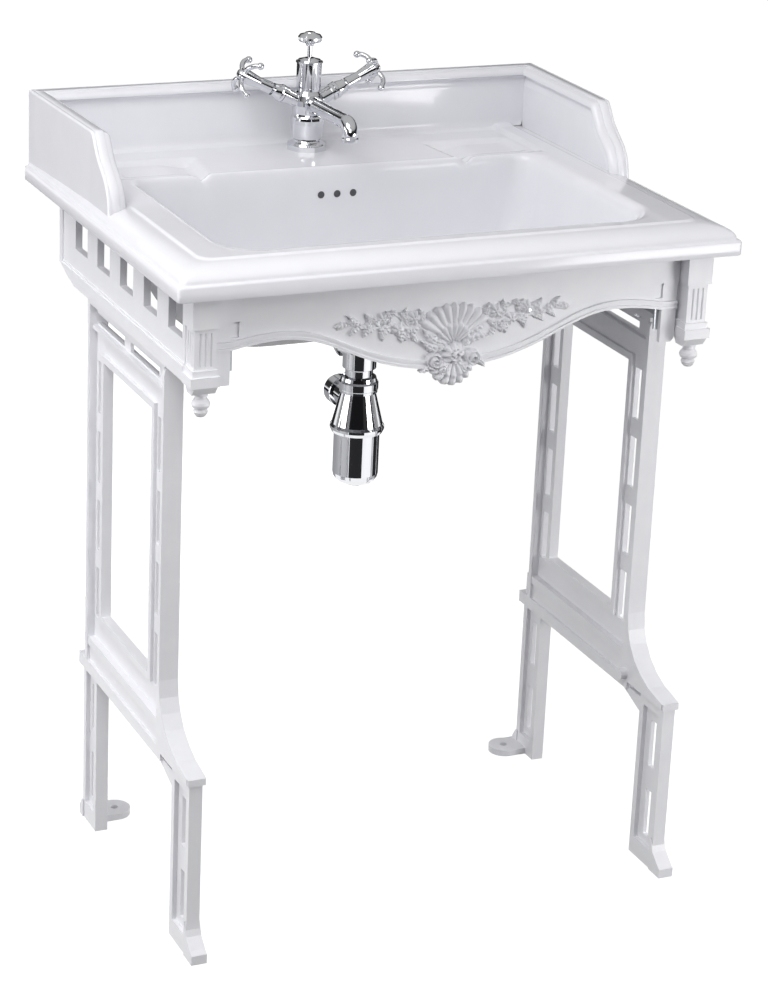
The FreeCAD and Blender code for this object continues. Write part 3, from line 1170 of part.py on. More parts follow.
# ---------------------------------------------------------------- waste, plug and lever
def make_waste():
    rim, sleeve, barrel = D.waste_rim, D.waste_sleeve, D.barrel_round
    t = D.waste_rim_thick
    bottom = floor_z - D.boss_under + 4
    up = floor_z - bottom
    mouth = barrel - 1
    seat = up - D.seat_drop
    points = [(barrel, 0), (sleeve, 0), (sleeve, up), (rim, up), (rim, up + t * 0.5),
              (rim - 4, up + t), (mouth + 2.5, up + t), (mouth, up + t - 2.5), (mouth, seat), (barrel, seat)]
    node("waste_flange", turned("waste_flange", points, 0, waste_y, bottom))
    wall = D.barrel_wall
    tall = D.tail_long
    top = floor_z - D.seat_drop - tail_low_z
    neck = barrel_low_z - tail_low_z
    tail = D.tail_round
    points = [(tail - D.tail_wall, 0), (tail, 0), (tail, neck), (barrel, neck + 2), (barrel, top),
              (barrel - wall, top), (barrel - wall, neck + 4), (tail - D.tail_wall, neck + 2)]
    barrel_body = turned("waste_barrel", points, 0, waste_y, tail_low_z)
    port = rod("waste_port", D.port_round, D.port_long + wall / 2, 0, waste_y + barrel - wall / 2, port_z,
               "rear")
    solid = fuse("waste_body_solid", [barrel_body, port])
    inside = rod("waste_inside", barrel - wall, D.barrel_tall - 8, 0, waste_y, barrel_low_z + 4)
    way = rod("waste_port_way", D.ball_round + 0.1, D.port_long + 12, 0, waste_y + barrel - wall - 6, port_z,
              "rear")
    node("waste_body", cut("waste_body", solid, [way, inside]))
    z = boss_z - D.seal_thick
    ring = rod("waste_seal_ring", D.waste_nut_round - 1, D.seal_thick, 0, waste_y, z)
    hole = rod("waste_seal_hole", barrel, D.seal_thick + 2, 0, waste_y, z - 1)
    node("waste_seal", cut("waste_seal", ring, [hole]))
    z = z - D.waste_nut_tall
    nut = hexagon("waste_nut_hex", D.waste_nut_round, D.waste_nut_tall, 0, waste_y, z, "up", 8)
    hole = rod("waste_nut_hole", barrel, D.waste_nut_tall + 2, 0, waste_y, z - 1)
    node("waste_nut", cut("waste_nut", nut, [hole]))


def make_plug():
    """The plug, stored on its seat with its foot just above the lever's end."""
    r = D.plug_round
    tip_rise = D.pivot_off * D.lever_rise / (D.waste_back - D.pivot_off - D.tap_back)
    low = port_z - tip_rise + D.lever_round + 0.5
    seat = floor_z - D.seat_drop + D.plug_slack
    up = seat - low
    inside = D.barrel_round - D.barrel_wall - 0.8
    points = [(0, 0), (3.5, 0), (3.5, up - 11), (inside - 3, up - 4), (inside, up), (r, up), (r, up + 2.5),
              (r - 2, up + 4.2), (r - 7, up + 5.2), (0, up + 5.8)]
    return node("waste_plug", turned("waste_plug", points, 0, waste_y, low))


def make_lever():
    """Ball lever from the waste barrel back to the stem, stored with the plug closed."""
    pivot_d = D.waste_back - D.pivot_off
    reach = v(pivot_d - D.tap_back)
    angle = math.atan2(v(D.lever_rise), reach)
    r = v(D.lever_round)
    way = Vector(0, math.cos(angle), math.sin(angle))
    ball = Part.makeSphere(v(D.ball_round))
    long = reach / math.cos(angle) + v(D.lever_past)
    rear = Part.makeCylinder(r, long, Vector(0, 0, 0), way)
    front = Part.makeCylinder(r, v(D.pivot_off) + 1.5, Vector(0, 0, 0), way * -1)
    shape = ball.fuse(rear).fuse(front)
    node("pop_up_lever", feature("pop_up_lever", shape, 0, back - pivot_d, port_z))
    end = waste_y + D.barrel_round + D.port_long
    nut = hexagon("pivot_nut_hex", D.port_round + 3.5, 9, 0, end - 6, port_z, "rear", 6)
    seat = rod("pivot_nut_seat", D.port_round, 8, 0, end - 8, port_z, "rear")
    hole = rod("pivot_nut_hole", D.lever_round + 1.4, 14, 0, end - 8, port_z, "rear")
    node("pivot_nut", cut("pivot_nut", nut, [seat, hole]))


# ---------------------------------------------------------------- bottle trap
def make_trap():
    g = D.fit_gap
    tail = D.tail_round
    r, tall = D.trap_nut_round, D.trap_nut_tall
    neck = tail + 3
    points = [(tail + g, tall - 3), (neck, tall - 3), (neck, 0), (r, 0), (r, 3), (r + 0.8, 4),
              (r + 0.8, tall - 6), (r - 1, tall - 4), (r - 2, tall), (tail + g, tall)]
    node("trap_nut", turned("trap_nut", points, 0, waste_y, cone_z))
    ring = rod("trap_seal_ring", neck, D.seal_thick, 0, waste_y, trap_nut_z - 3 - D.seal_thick)
    hole = rod("trap_seal_hole", tail, D.seal_thick + 2, 0, waste_y, trap_nut_z - 4 - D.seal_thick)
    node("trap_seal", cut("trap_seal", ring, [hole]))
    top, low = D.cone_top, D.cone_low
    cup = D.cup_round
    dip = D.tail_round - 1
    up = D.cone_tall
    neck_top = up + tall - 3 - D.seal_thick
    brim = D.cup_lap - 3
    roof = brim + 1.2
    shift = D.cup_tall * 0.55
    points = [(dip - 2, -shift), (dip, -shift), (dip, up - 8), (cup - 8, up - 14), (cup - 4, roof),
              (cup, roof), (cup, -4), (cup + 3, -4), (low, 0), (low, 3), (low - 2, 6), (top, up),
              (neck, up), (neck, neck_top), (tail + g, neck_top), (tail + g, up - 5), (dip - 2, up - 7)]
    head = turned("trap_head_body", [(a, as_size(b) + shift) for a, b in points], 0, waste_y,
                  skirt_z - shift)
    out_z = cone_z - D.outlet_level
    stub = rod("trap_outlet", D.outlet_round, D.outlet_far - D.cup_round + 7, 0,
               waste_y + D.cup_round - 7, out_z, "rear")
    solid = fuse("trap_head_solid", [head, stub])
    way = rod("trap_outlet_way", D.outlet_round - 2, D.outlet_far, 0, waste_y + dip + 1, out_z, "rear")
    node("trap_head", cut("trap_head", solid, [way]))
    wall = D.cup_wall
    full = D.cup_tall
    dome = D.cup_dome
    outer = [(0, 0)]
    for a in (15, 30, 45, 60, 75, 90):
        outer.append((cup * math.sin(math.radians(a)), dome * (1 - math.cos(math.radians(a)))))
    outer = outer + [(cup, full + brim - 3), (cup - wall, full + brim - 3)]
    for a in (90, 70, 50, 30):
        outer.append(((cup - wall) * math.sin(math.radians(a)),
                      wall + (dome - wall) * (1 - math.cos(math.radians(a)))))
    outer.append((0, wall))
    node("trap_cup", turned("trap_cup", outer, 0, waste_y, skirt_z + 3 - full))
    z = skirt_z + brim
    ring = rod("cup_seal_ring", cup, 1.2, 0, waste_y, z)
    hole = rod("cup_seal_hole", cup - wall - 1.5, 3, 0, waste_y, z - 1)
    node("cup_seal", cut("cup_seal", ring, [hole]))
    y = waste_y + D.outlet_far - D.outlet_nut_long + 6
    r = D.outlet_nut
    long = D.outlet_nut_long
    bore = D.outlet_round
    points = [(bore, 0), (r - 0.5, 0), (r, 1), (r, long - 4), (r - 1.5, long - 2), (r - 2, long),
              (bore - 1.5, long), (bore - 1.5, long - 2), (bore, long - 2)]
    node("outlet_nut", turned("outlet_nut", points, 0, y, out_z, AXES["rear"]))
    y = waste_y + D.outlet_far
    ring = rod("outlet_seal_ring", bore, 4, 0, y, out_z, "rear")
    hole = rod("outlet_seal_hole", bore - 2, 6, 0, y - 1, out_z, "rear")
    node("outlet_seal", cut("outlet_seal", ring, [hole]))


# ---------------------------------------------------------------- everything
make_basin()
for side, tag in ((-1, "left"), (1, "right")):
    make_rail(side, tag)
    make_post(side, tag)
    make_finial(side, tag)
    make_bracket(side, tag)
    make_frame(side, tag)
    make_valve(side, tag)
apron_y = back - apron_d1
node("apron", feature("apron", apron_shape(), 0, apron_y, 0))
node("shell_ornament", feature("shell_ornament", shell_shape(), 0, apron_y, 0))
node("spray_left", feature("spray_left", spray_shape(-1), 0, apron_y, 0))
node("spray_right", feature("spray_right", spray_shape(1), 0, apron_y, 0))
make_screws()
make_frame_bolts()
make_pads()
make_tap_foot()
node("tap_body", feature("tap_body", tap_body_shape(), 0, tap_y, 0))
make_spout()
make_column()
make_knob()
make_tap_root()
make_waste()
make_plug()
make_lever()
make_trap()
doc.recompute()

bad = [o.Name for o in doc.Objects if "Invalid" in o.State or "Error" in o.State]
if bad:
    raise RuntimeError("objects that failed: %s" % bad)
os.makedirs("parts", exist_ok=True)
for name, obj in NODES.items():
    shape = obj.Shape
    if shape.isNull() or not shape.isValid() or not shape.Solids:
        raise RuntimeError("bad shape in %s" % name)
for name, obj in NODES.items():
    obj.Shape.exportStep("parts/%s.step" % name)
    box = obj.Shape.BoundBox
    print("%-16s solids %2d volume %10.0f  x %.1f %.1f  y %.1f %.1f  z %.1f %.1f" % (
        name, len(obj.Shape.Solids), obj.Shape.Volume, box.XMin, box.XMax, box.YMin, box.YMax,
        box.ZMin, box.ZMax))
print(len(NODES), "nodes")
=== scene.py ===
# %% [markdown]
# A console washbasin on cast leg frames
#
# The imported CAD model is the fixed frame: metres, +Z up, the front faces -Y, origin on the floor.
# This script dresses it: glazed china, gloss-painted cast iron and chrome-plated brass.

# %% Load the frame
import json
import math

import bpy
from mathutils import Matrix, Vector


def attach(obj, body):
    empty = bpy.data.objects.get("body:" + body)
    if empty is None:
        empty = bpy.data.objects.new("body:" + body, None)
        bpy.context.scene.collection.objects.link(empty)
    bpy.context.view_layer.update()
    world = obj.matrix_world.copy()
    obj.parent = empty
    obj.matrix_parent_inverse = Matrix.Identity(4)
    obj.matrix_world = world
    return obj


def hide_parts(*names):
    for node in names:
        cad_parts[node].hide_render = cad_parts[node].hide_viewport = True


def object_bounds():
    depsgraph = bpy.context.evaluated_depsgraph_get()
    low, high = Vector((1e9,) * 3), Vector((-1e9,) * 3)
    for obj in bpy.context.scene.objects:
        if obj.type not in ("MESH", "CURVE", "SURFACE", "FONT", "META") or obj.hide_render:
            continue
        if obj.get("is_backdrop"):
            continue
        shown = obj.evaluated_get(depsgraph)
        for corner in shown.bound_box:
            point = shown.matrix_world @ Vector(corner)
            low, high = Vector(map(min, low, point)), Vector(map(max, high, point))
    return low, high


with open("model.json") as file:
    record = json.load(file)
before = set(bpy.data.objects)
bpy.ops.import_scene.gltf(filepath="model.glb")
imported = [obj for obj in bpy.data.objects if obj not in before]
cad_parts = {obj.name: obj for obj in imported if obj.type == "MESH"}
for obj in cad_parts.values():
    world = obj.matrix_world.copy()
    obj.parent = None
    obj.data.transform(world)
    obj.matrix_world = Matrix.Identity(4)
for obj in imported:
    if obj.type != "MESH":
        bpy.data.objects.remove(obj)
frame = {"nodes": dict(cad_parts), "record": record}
cad_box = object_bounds()
nodes = frame["nodes"]

# %% [markdown]
# The drawing was made in millimetres and in depths: d is how far a point stands in front of the
# back face, which touches the wall. One function turns (x, d, z) in millimetres into scene metres.

# %% Sizes in millimetres
BACK_Y = 258.0
WIDE, DEEP = 650.0, 510.0
RIM_Z, LIP_Z, DECK_Z, RING_Z, SPLASH_Z = 747.0, 763.0, 778.0, 781.0, 852.5
BOWL_HALF, BOWL_BACK, BOWL_FRONT, BOWL_DEEP = 245.0, 150.0, 446.0, 151.0
BOWL_CORNER, BOWL_REAR_CORNER = 46.0, 26.0
WASTE_D, FOOT_Z = 233.0, 600.0
RIB_HALF, RIB_Z, RIB_DEEP = 210.0, 701.0, 21.0


def point(x, d, z):
    return Vector((x, BACK_Y - d, z)) / 1000.0


def mesh_piece(name, verts, faces, body, material, replaces=(), sharp=38.0):
    """A smooth-shaded mesh that rides on a body and, where asked, stands for CAD nodes."""
    mesh = bpy.data.meshes.new(name)
    mesh.from_pydata([tuple(p) for p in verts], [], faces)
    mesh.validate()
    mesh.shade_smooth()
    mesh.set_sharp_from_angle(angle=math.radians(sharp))
    obj = bpy.data.objects.new(name, mesh)
    bpy.context.scene.collection.objects.link(obj)
    mesh.materials.append(material)
    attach(obj, body)
    if replaces:
        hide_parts(*replaces)
    print(name, len(mesh.vertices), "points")
    return obj


# %% [markdown]
# Materials. A hex colour is what a paint chart or a picture editor shows (sRGB); the shader wants
# linear light, so one function converts it. One more function adds a node, sets it and links it.

# %% Colour and node helpers
def linear(code):
    parts = [int(code[i:i + 2], 16) / 255.0 for i in (1, 3, 5)]
    return tuple(c / 12.92 if c <= 0.04045 else ((c + 0.055) / 1.055) ** 2.4 for c in parts) + (1.0,)


def add_node(tree, kind, settings=None, links=None):
    """Adds a node; settings are attributes or input values, links are input: output socket."""
    made = tree.nodes.new(kind)
    for key, value in (settings or {}).items():
        if isinstance(key, str) and hasattr(made, key):
            setattr(made, key, value)
        else:
            made.inputs[key].default_value = value
    for key, source in (links or {}).items():
        tree.links.new(source, made.inputs[key])
    return made


def new_material(name, look):
    """A material with its shader; look holds the shader's own socket values."""
    material = bpy.data.materials.new(name)
    material.use_nodes = True
    tree = material.node_tree
    shader = tree.nodes["Principled BSDF"]
    for key, value in look.items():
        shader.inputs[key].default_value = value
    return material, tree, shader


def two_tints(tree, shader, factor, dark, light):
    """Drives the base colour between two tints by a pattern."""
    mix = add_node(tree, "ShaderNodeMix", {"data_type": "RGBA", 6: linear(dark), 7: linear(light)},
                   {0: factor})
    tree.links.new(mix.outputs[2], shader.inputs["Base Color"])


def object_space(tree, per_millimetre):
    """Object coordinates scaled so that 1 unit of a pattern is this many per millimetre."""
    where = add_node(tree, "ShaderNodeTexCoord")
    scale = 1000.0 * per_millimetre
    return add_node(tree, "ShaderNodeMapping", {"Scale": (scale, scale, scale)},
                    {"Vector": where.outputs["Object"]}).outputs["Vector"]


# %% [markdown]
# Vitreous china: clay fired twice under a clear glassy glaze about half a millimetre thick. The
# eye sees a faintly cool white, sharp reflections, and a very slow waviness where the glaze ran.

# %% Glazed china
china, tree, shader = new_material("glazed_vitreous_china", {
    "Base Color": linear("#E9E9EE"), "Roughness": 0.12, "IOR": 1.52})
spots = add_node(tree, "ShaderNodeTexNoise", {"Scale": 1.0, "Detail": 3.0},
                 {"Vector": object_space(tree, 1 / 40.0)})
two_tints(tree, shader, spots.outputs["Fac"], "#E2E2E7", "#E8E8ED")
ripple = add_node(tree, "ShaderNodeTexNoise", {"Scale": 1.0, "Detail": 2.0},
                  {"Vector": object_space(tree, 1 / 14.0)})
wave = add_node(tree, "ShaderNodeBump", {"Strength": 0.12, "Distance": 0.0004},
                {"Height": ripple.outputs["Fac"]})
tree.links.new(wave.outputs["Normal"], shader.inputs["Normal"])

# %% [markdown]
# Cast iron poured in sand, then sprayed with white gloss enamel. The sand leaves a grain of half a
# millimetre to a millimetre that the paint softens but doesn't hide.

# %% Painted cast iron
iron, tree, shader = new_material("white_enamelled_cast_iron", {
    "Base Color": linear("#E6E7EC"), "Roughness": 0.34, "IOR": 1.5})
grain = add_node(tree, "ShaderNodeTexNoise", {"Scale": 1.0, "Detail": 4.0, "Roughness": 0.6},
                 {"Vector": object_space(tree, 1 / 1.4)})
run = add_node(tree, "ShaderNodeTexNoise", {"Scale": 1.0, "Detail": 2.0},
               {"Vector": object_space(tree, 1 / 25.0)})
two_tints(tree, shader, run.outputs["Fac"], "#EAEAEF", "#F1F1F4")
gloss = add_node(tree, "ShaderNodeMapRange", {"To Min": 0.28, "To Max": 0.42},
                 {"Value": grain.outputs["Fac"]})
tree.links.new(gloss.outputs["Result"], shader.inputs["Roughness"])
skin = add_node(tree, "ShaderNodeBump", {"Strength": 0.35, "Distance": 0.0003},
                {"Height": grain.outputs["Fac"]})
tree.links.new(skin.outputs["Normal"], shader.inputs["Normal"])

# %% [markdown]
# Chrome on polished brass: a nearly perfect mirror, faintly blue, with fine wiping marks that only
# show as a slight change of sharpness in the reflections.

# %% Chrome
chrome, tree, shader = new_material("chrome_on_polished_brass", {
    "Base Color": linear("#E2E3E6"), "Metallic": 1.0, "Roughness": 0.05})
wipe = add_node(tree, "ShaderNodeTexNoise", {"Scale": 1.0, "Detail": 5.0, "Roughness": 0.7},
                {"Vector": object_space(tree, 1 / 9.0)})
gloss = add_node(tree, "ShaderNodeMapRange",
                 {"From Min": 0.35, "From Max": 0.7, "To Min": 0.03, "To Max": 0.085},
                 {"Value": wipe.outputs["Fac"]})
tree.links.new(gloss.outputs["Result"], shader.inputs["Roughness"])

# %% [markdown]
# Zinc-plated steel for the hidden screws and bolts, and black rubber for the seals and pads.

# %% Zinc and rubber
zinc, tree, shader = new_material("zinc_plated_steel", {
    "Base Color": linear("#B9BCC0"), "Metallic": 1.0, "Roughness": 0.32})
spangle = add_node(tree, "ShaderNodeTexVoronoi", {"Scale": 1.0}, {"Vector": object_space(tree, 1 / 1.5)})
gloss = add_node(tree, "ShaderNodeMapRange", {"To Min": 0.24, "To Max": 0.42},
                 {"Value": spangle.outputs["Distance"]})
tree.links.new(gloss.outputs["Result"], shader.inputs["Roughness"])

rubber, tree, shader = new_material("black_nitrile_rubber", {
    "Base Color": linear("#1C1C1D"), "Roughness": 0.7})
bloom = add_node(tree, "ShaderNodeTexNoise", {"Scale": 1.0, "Detail": 3.0},
                 {"Vector": object_space(tree, 1 / 2.0)})
two_tints(tree, shader, bloom.outputs["Fac"], "#171718", "#262627")

# %% Give every CAD node its finish
finish_of_slot = {"china": china, "white_iron": iron, "chrome": chrome, "button": chrome,
                  "zinc_steel": zinc, "rubber": rubber}
for part in frame["record"]["subparts"]:
    mesh = nodes[part["node"]].data
    mesh.materials.clear()
    mesh.materials.append(finish_of_slot[part["material_slot"]])
print("finished", len(nodes), "CAD nodes")

# %% [markdown]
# The basin. Slip-cast china has no sharp corner anywhere, so the basin is built as one mesh of
# rings: the outer moulding is a section swept round three sides, the top and the bowl are rings
# that morph from the rim's rectangle to the bowl's rounded edge and down to the waste hole, and
# the splashback is a section swept along the wall and down its curved ends.

# %% Rings of points
LONG_STEPS, SHORT_STEPS, CORNER_STEPS = 110, 34, 12


def rounded_ring(x0, x1, d0, d1, radius, rear=None):
    """Points round a rectangle with rounded corners, always the same count, as (x, d) pairs."""
    ring = []
    rear = radius if rear is None else rear
    corners = [(x1 - radius, d1 - radius, 0, radius), (x0 + radius, d1 - radius, 90, radius),
               (x0 + rear, d0 + rear, 180, rear), (x1 - rear, d0 + rear, 270, rear)]
    for k, (cx, cd, start, r) in enumerate(corners):
        arc = []
        for i in range(CORNER_STEPS + 1):
            a = math.radians(start + 90.0 * i / CORNER_STEPS)
            arc.append((cx + r * math.cos(a), cd + r * math.sin(a)))
        ring += arc
        nx, nd, nstart, nr = corners[(k + 1) % 4]
        b = math.radians(nstart)
        end = (nx + nr * math.cos(b), nd + nr * math.sin(b))
        count = SHORT_STEPS if k % 2 else LONG_STEPS
        for i in range(1, count):
            share = i / count
            ring.append((arc[-1][0] + (end[0] - arc[-1][0]) * share,
                         arc[-1][1] + (end[1] - arc[-1][1]) * share))
    return ring


def smooth_step(value):
    value = min(max(value, 0.0), 1.0)
    return value * value * (3 - 2 * value)


def bridge(faces, start_a, start_b, count, closed=True):
    for i in range(count if closed else count - 1):
        j = (i + 1) % count
        faces.append((start_a + i, start_a + j, start_b + j, start_b + i))


def soften(rows, steps):
    """A smooth run of in-between rows through the given rows of numbers."""
    out = []
    for i in range(len(rows) - 1):
        before, a, b = rows[max(i - 1, 0)], rows[i], rows[i + 1]
        after = rows[min(i + 2, len(rows) - 1)]
        for k in range(steps):
            t = k / steps
            out.append(tuple(
                0.5 * (2 * q + (r - p) * t + (2 * p - 5 * q + 4 * r - s) * t * t
                       + (3 * q - p - 3 * r + s) * t ** 3)
                for p, q, r, s in zip(before, a, b, after)))
    return out + [tuple(rows[-1])]


# %% [markdown]
# The bowl: the edge turns over in a quarter round of 14 mm, the sides and the back fall steeply
# and the front runs down to the waste in a long slope. The same rows give the inside and, one
# wall thickness further out, the outside, so the two can't drift apart. The two back corners are
# tighter than the front ones.

# %% Bowl
BOWL_ROWS = soften([
    # share of the depth, edge rounding, side, front and back inset, corner growth
    (0.0, 14.0, 0.0, 0.0, 0.0, 0.0), (0.0066, 8.8, 0.0, 0.0, 0.0, 0.0), (0.0265, 4.2, 0.0, 0.0, 0.0, 0.0),
    (0.053, 1.4, 0.0, 0.0, 0.0, 0.0), (0.09, 0.0, 0.3, 0.3, 0.2, 0.0), (0.18, 0.0, 2.0, 2.0, 1.0, 1.0),
    (0.35, 0.0, 5.0, 4.5, 2.5, 3.0), (0.5, 0.0, 8.0, 9.1, 4.0, 6.0), (0.6, 0.0, 11.0, 22.0, 5.5, 10.0),
    (0.7, 0.0, 15.8, 50.1, 7.9, 12.0), (0.8, 0.0, 24.0, 84.0, 12.0, 12.0), (0.9, 0.0, 36.8, 120.0, 18.4, 8.0),
    (0.97, 0.0, 54.0, 150.0, 27.0, 2.0), (1.0, 0.0, 75.0, 168.0, 37.5, -6.0)], 3)


def bowl_ring(row, grow):
    _, edge, side, front, rear, rounding = row
    edge = 0.0 if grow else edge
    w = BOWL_HALF - side + edge + grow
    return rounded_ring(-w, w, BOWL_BACK + rear - edge * 0.3 - grow, BOWL_FRONT - front + edge + grow,
                        BOWL_CORNER + rounding + grow + edge * 0.5,
                        BOWL_REAR_CORNER + 0.7 * rounding + grow + edge * 0.5)


# %% [markdown]
# The top: behind the bowl the deck lies a little lower than the ring. Two soap trays are let into
# it, each with a low lip in front and a drain notch beside the tap's platform.

# %% Top of the basin
RING_IN = 39.0


def top_level(x, d):
    """Height of the top surface before the bowl begins."""
    s = abs(x)
    level = RING_Z - (RING_Z - DECK_Z) * smooth_step((152.0 - d) / 12.0) * smooth_step((268.0 - s) / 8.0)
    edge = 142.0 + 11.0 * (d - 48.0) / 102.0
    tray = smooth_step((s - edge) / 14.0) * smooth_step((256.0 - s) / 14.0) * smooth_step((d - 62.0) / 16.0)
    deep = 3.2 + 5.8 * smooth_step((196.0 - s) / 42.0)
    lip = smooth_step((d - 124.0) / 9.0) * smooth_step((s - 166.0) / 9.0)
    wall = 3.0 * (1.0 - smooth_step((d - 17.0) / 14.0)) ** 2
    return level - deep * tray * (1.0 - 0.8 * lip) + wall


def basin_top():
    verts, faces, starts = [], [], []

    def put(ring, levels):
        starts.append(len(verts))
        for (x, d), z in zip(ring, levels):
            verts.append(point(x, d, z))

    hx = WIDE / 2 - RING_IN
    outer = rounded_ring(-hx, hx, 0.5, DEEP - RING_IN, 5.0 + 0.3 * RING_IN)
    edge = bowl_ring(BOWL_ROWS[0], 0.0)
    steps = 56
    for k in range(steps + 1):
        w = k / steps
        ring = [(a[0] + (b[0] - a[0]) * w, a[1] + (b[1] - a[1]) * w) for a, b in zip(outer, edge)]
        put(ring, [top_level(x, d) for x, d in ring])
    edge_levels = [top_level(x, d) for x, d in edge]
    for row in BOWL_ROWS[1:]:
        drop = row[0] * BOWL_DEEP
        mix = smooth_step(drop / 26.0)
        last = bowl_ring(row, 0.0)
        put(last, [lv * (1 - mix) + RING_Z * mix - drop for lv in edge_levels])
    for share, sink in ((0.3, 0.0), (0.6, 0.0), (0.85, 0.1), (0.97, 0.5), (1.0, 1.2)):
        ring = []
        for x, d in last:
            a = math.atan2(d - WASTE_D, x)
            rim = (29.0 * math.cos(a), WASTE_D + 29.0 * math.sin(a))
            ring.append((x + (rim[0] - x) * share, d + (rim[1] - d) * share))
        put(ring, [RING_Z - BOWL_DEEP - sink] * len(ring))
    count = len(outer)
    for a, b in zip(starts[:-1], starts[1:]):
        bridge(faces, a, b, count)
    return verts, faces


# %% Outer moulding, underside and outer bowl
def basin_outside():
    """Fascia, small step, ovolo and ring edge round three sides."""
    section = [(46.0, 764.0), (44.0, 762.0), (44.0, 749.0), (43.0, 747.2), (2.0, 747.0), (0.5, 747.5),
               (0.0, 749.0), (0.0, 761.6), (0.6, 763.0), (1.8, 763.8), (3.4, 764.2), (4.0, 765.0)]
    for k in range(1, 15):
        a = math.radians(90.0 * k / 14)
        section.append((4.0 + 30.0 * (1 - math.cos(a)), 765.0 + 14.2 * math.sin(a)))
    section += [(35.0, 779.4), (36.0, 779.9), (37.0, 780.5), (38.0, 780.9), (RING_IN, RING_Z)]
    verts, faces, starts = [], [], []
    for inset, z in section:
        starts.append(len(verts))
        x, front = WIDE / 2 - inset, DEEP - inset
        r = 5.0 + 0.3 * min(inset, RING_IN)
        path = [(-x, 0.0), (-x, 120.0), (-x, 240.0), (-x, 360.0)]
        for i in range(10):
            a = math.radians(180 - 10 * i)
            path.append((-x + r + r * math.cos(a), front - r + r * math.sin(a)))
        path += [(-x / 2, front), (0.0, front), (x / 2, front)]
        for i in range(10):
            a = math.radians(90 - 10 * i)
            path.append((x - r + r * math.cos(a), front - r + r * math.sin(a)))
        path += [(x, 360.0), (x, 240.0), (x, 120.0), (x, 0.0)]
        for px, pd in path:
            verts.append(point(px, pd, z))
    count = starts[1] - starts[0]
    for a, b in zip(starts[:-1], starts[1:]):
        bridge(faces, b, a, count, closed=False)
    return verts, faces


def basin_under():
    """Underside of the deck and the outside of the bowl, from the skirt to the boss."""
    verts, faces, starts = [], [], []
    for inset, z, radius in ((44.0, 762.0, 18.0), (45.0, 764.0, 19.0)):
        ring = rounded_ring(-WIDE / 2 + inset, WIDE / 2 - inset, 21.0, DEEP - inset, radius)
        starts.append(len(verts))
        verts += [point(x, d, z) for x, d in ring]
    wall = 10.0
    top, low = 766.0, RING_Z - BOWL_DEEP - wall
    for row in BOWL_ROWS[6:]:
        ring = bowl_ring(row, wall)
        starts.append(len(verts))
        verts += [point(x, d, min(764.0, top - row[0] * (top - low))) for x, d in ring]
    last = ring
    for share, z, radius in ((0.6, low, 34.5), (1.0, low - 2.0, 34.5), (1.0, FOOT_Z + 0.8, 34.5),
                             (1.0, FOOT_Z, 33.5), (1.0, FOOT_Z, 23.0), (1.0, FOOT_Z + 22.0, 22.5)):
        starts.append(len(verts))
        for x, d in last:
            a = math.atan2(d - WASTE_D, x)
            rim = (radius * math.cos(a), WASTE_D + radius * math.sin(a))
            verts.append(point(x + (rim[0] - x) * share, d + (rim[1] - d) * share, z))
    count = len(last)
    for a, b in zip(starts[:-1], starts[1:]):
        bridge(faces, b, a, count)
    return verts, faces


# %% [markdown]
# The splashback's cap is a moulding: a flat top, a small step, a rounded nose and a hollow back to
# the wall. It runs along the wall and down the S-shaped ends, so its section is swept along a line
# in the plane of each wall, always square to that line. Where the line bends tighter than the
# section is deep, the inner lines would cross; they are held from turning back.

# %% Splashback
# How far in from the outer face, how far down from the top
CAP = [(0.0, 2.2), (0.5, 0.7), (1.8, 0.0), (3.2, 0.0), (3.6, 0.45), (4.0, 0.0), (13.2, 0.0), (13.7, 0.5),
       (13.9, 1.9), (14.6, 2.3), (17.4, 2.9), (19.8, 4.1), (21.6, 6.0), (22.5, 8.4), (22.1, 9.7),
       (19.6, 10.6), (17.5, 11.4), (16.2, 12.8), (15.6, 14.8), (15.7, 17.0), (16.3, 20.0), (17.0, 24.0)]
# Depth and height of the top edge of an end, from the wall to the front
END_LINE = [(0.0, 852.5), (20.0, 852.5), (60.0, 852.5), (110.0, 852.5), (160.0, 852.5), (196.0, 852.5),
            (203.0, 852.5), (206.5, 852.2), (209.5, 851.2), (212.5, 848.6), (215.5, 844.8), (219.0, 840.0),
            (223.0, 834.4), (228.0, 828.6), (236.0, 821.6), (244.5, 815.4), (252.0, 809.4), (258.0, 803.0),
            (262.5, 796.0), (265.5, 788.2), (267.5, 779.5), (268.3, 771.0)]


def outer_x(d):
    """The splash walls' outer face: it closes in a little towards the front."""
    return 320.5 - 4.5 * min(d / 206.0, 1.0)


def side_lines():
    """For each row of the cap's section, its line along the side wall as (d, z) pairs."""
    path = soften(END_LINE, 2)
    normals = []
    for i in range(len(path)):
        a, b = path[max(i - 1, 0)], path[min(i + 1, len(path) - 1)]
        run, fall = b[0] - a[0], b[1] - a[1]
        size = math.hypot(run, fall)
        normals.append((-fall / size, run / size))
    lines = []
    for inward, down in CAP:
        line, far, low = [], -1.0, 9999.0
        for (d, z), (nd, nz) in zip(path, normals):
            far = max(far, d - nd * down, inward)
            low = min(low, z - nz * down)
            line.append((far, low))
        lines.append(line)
    return lines


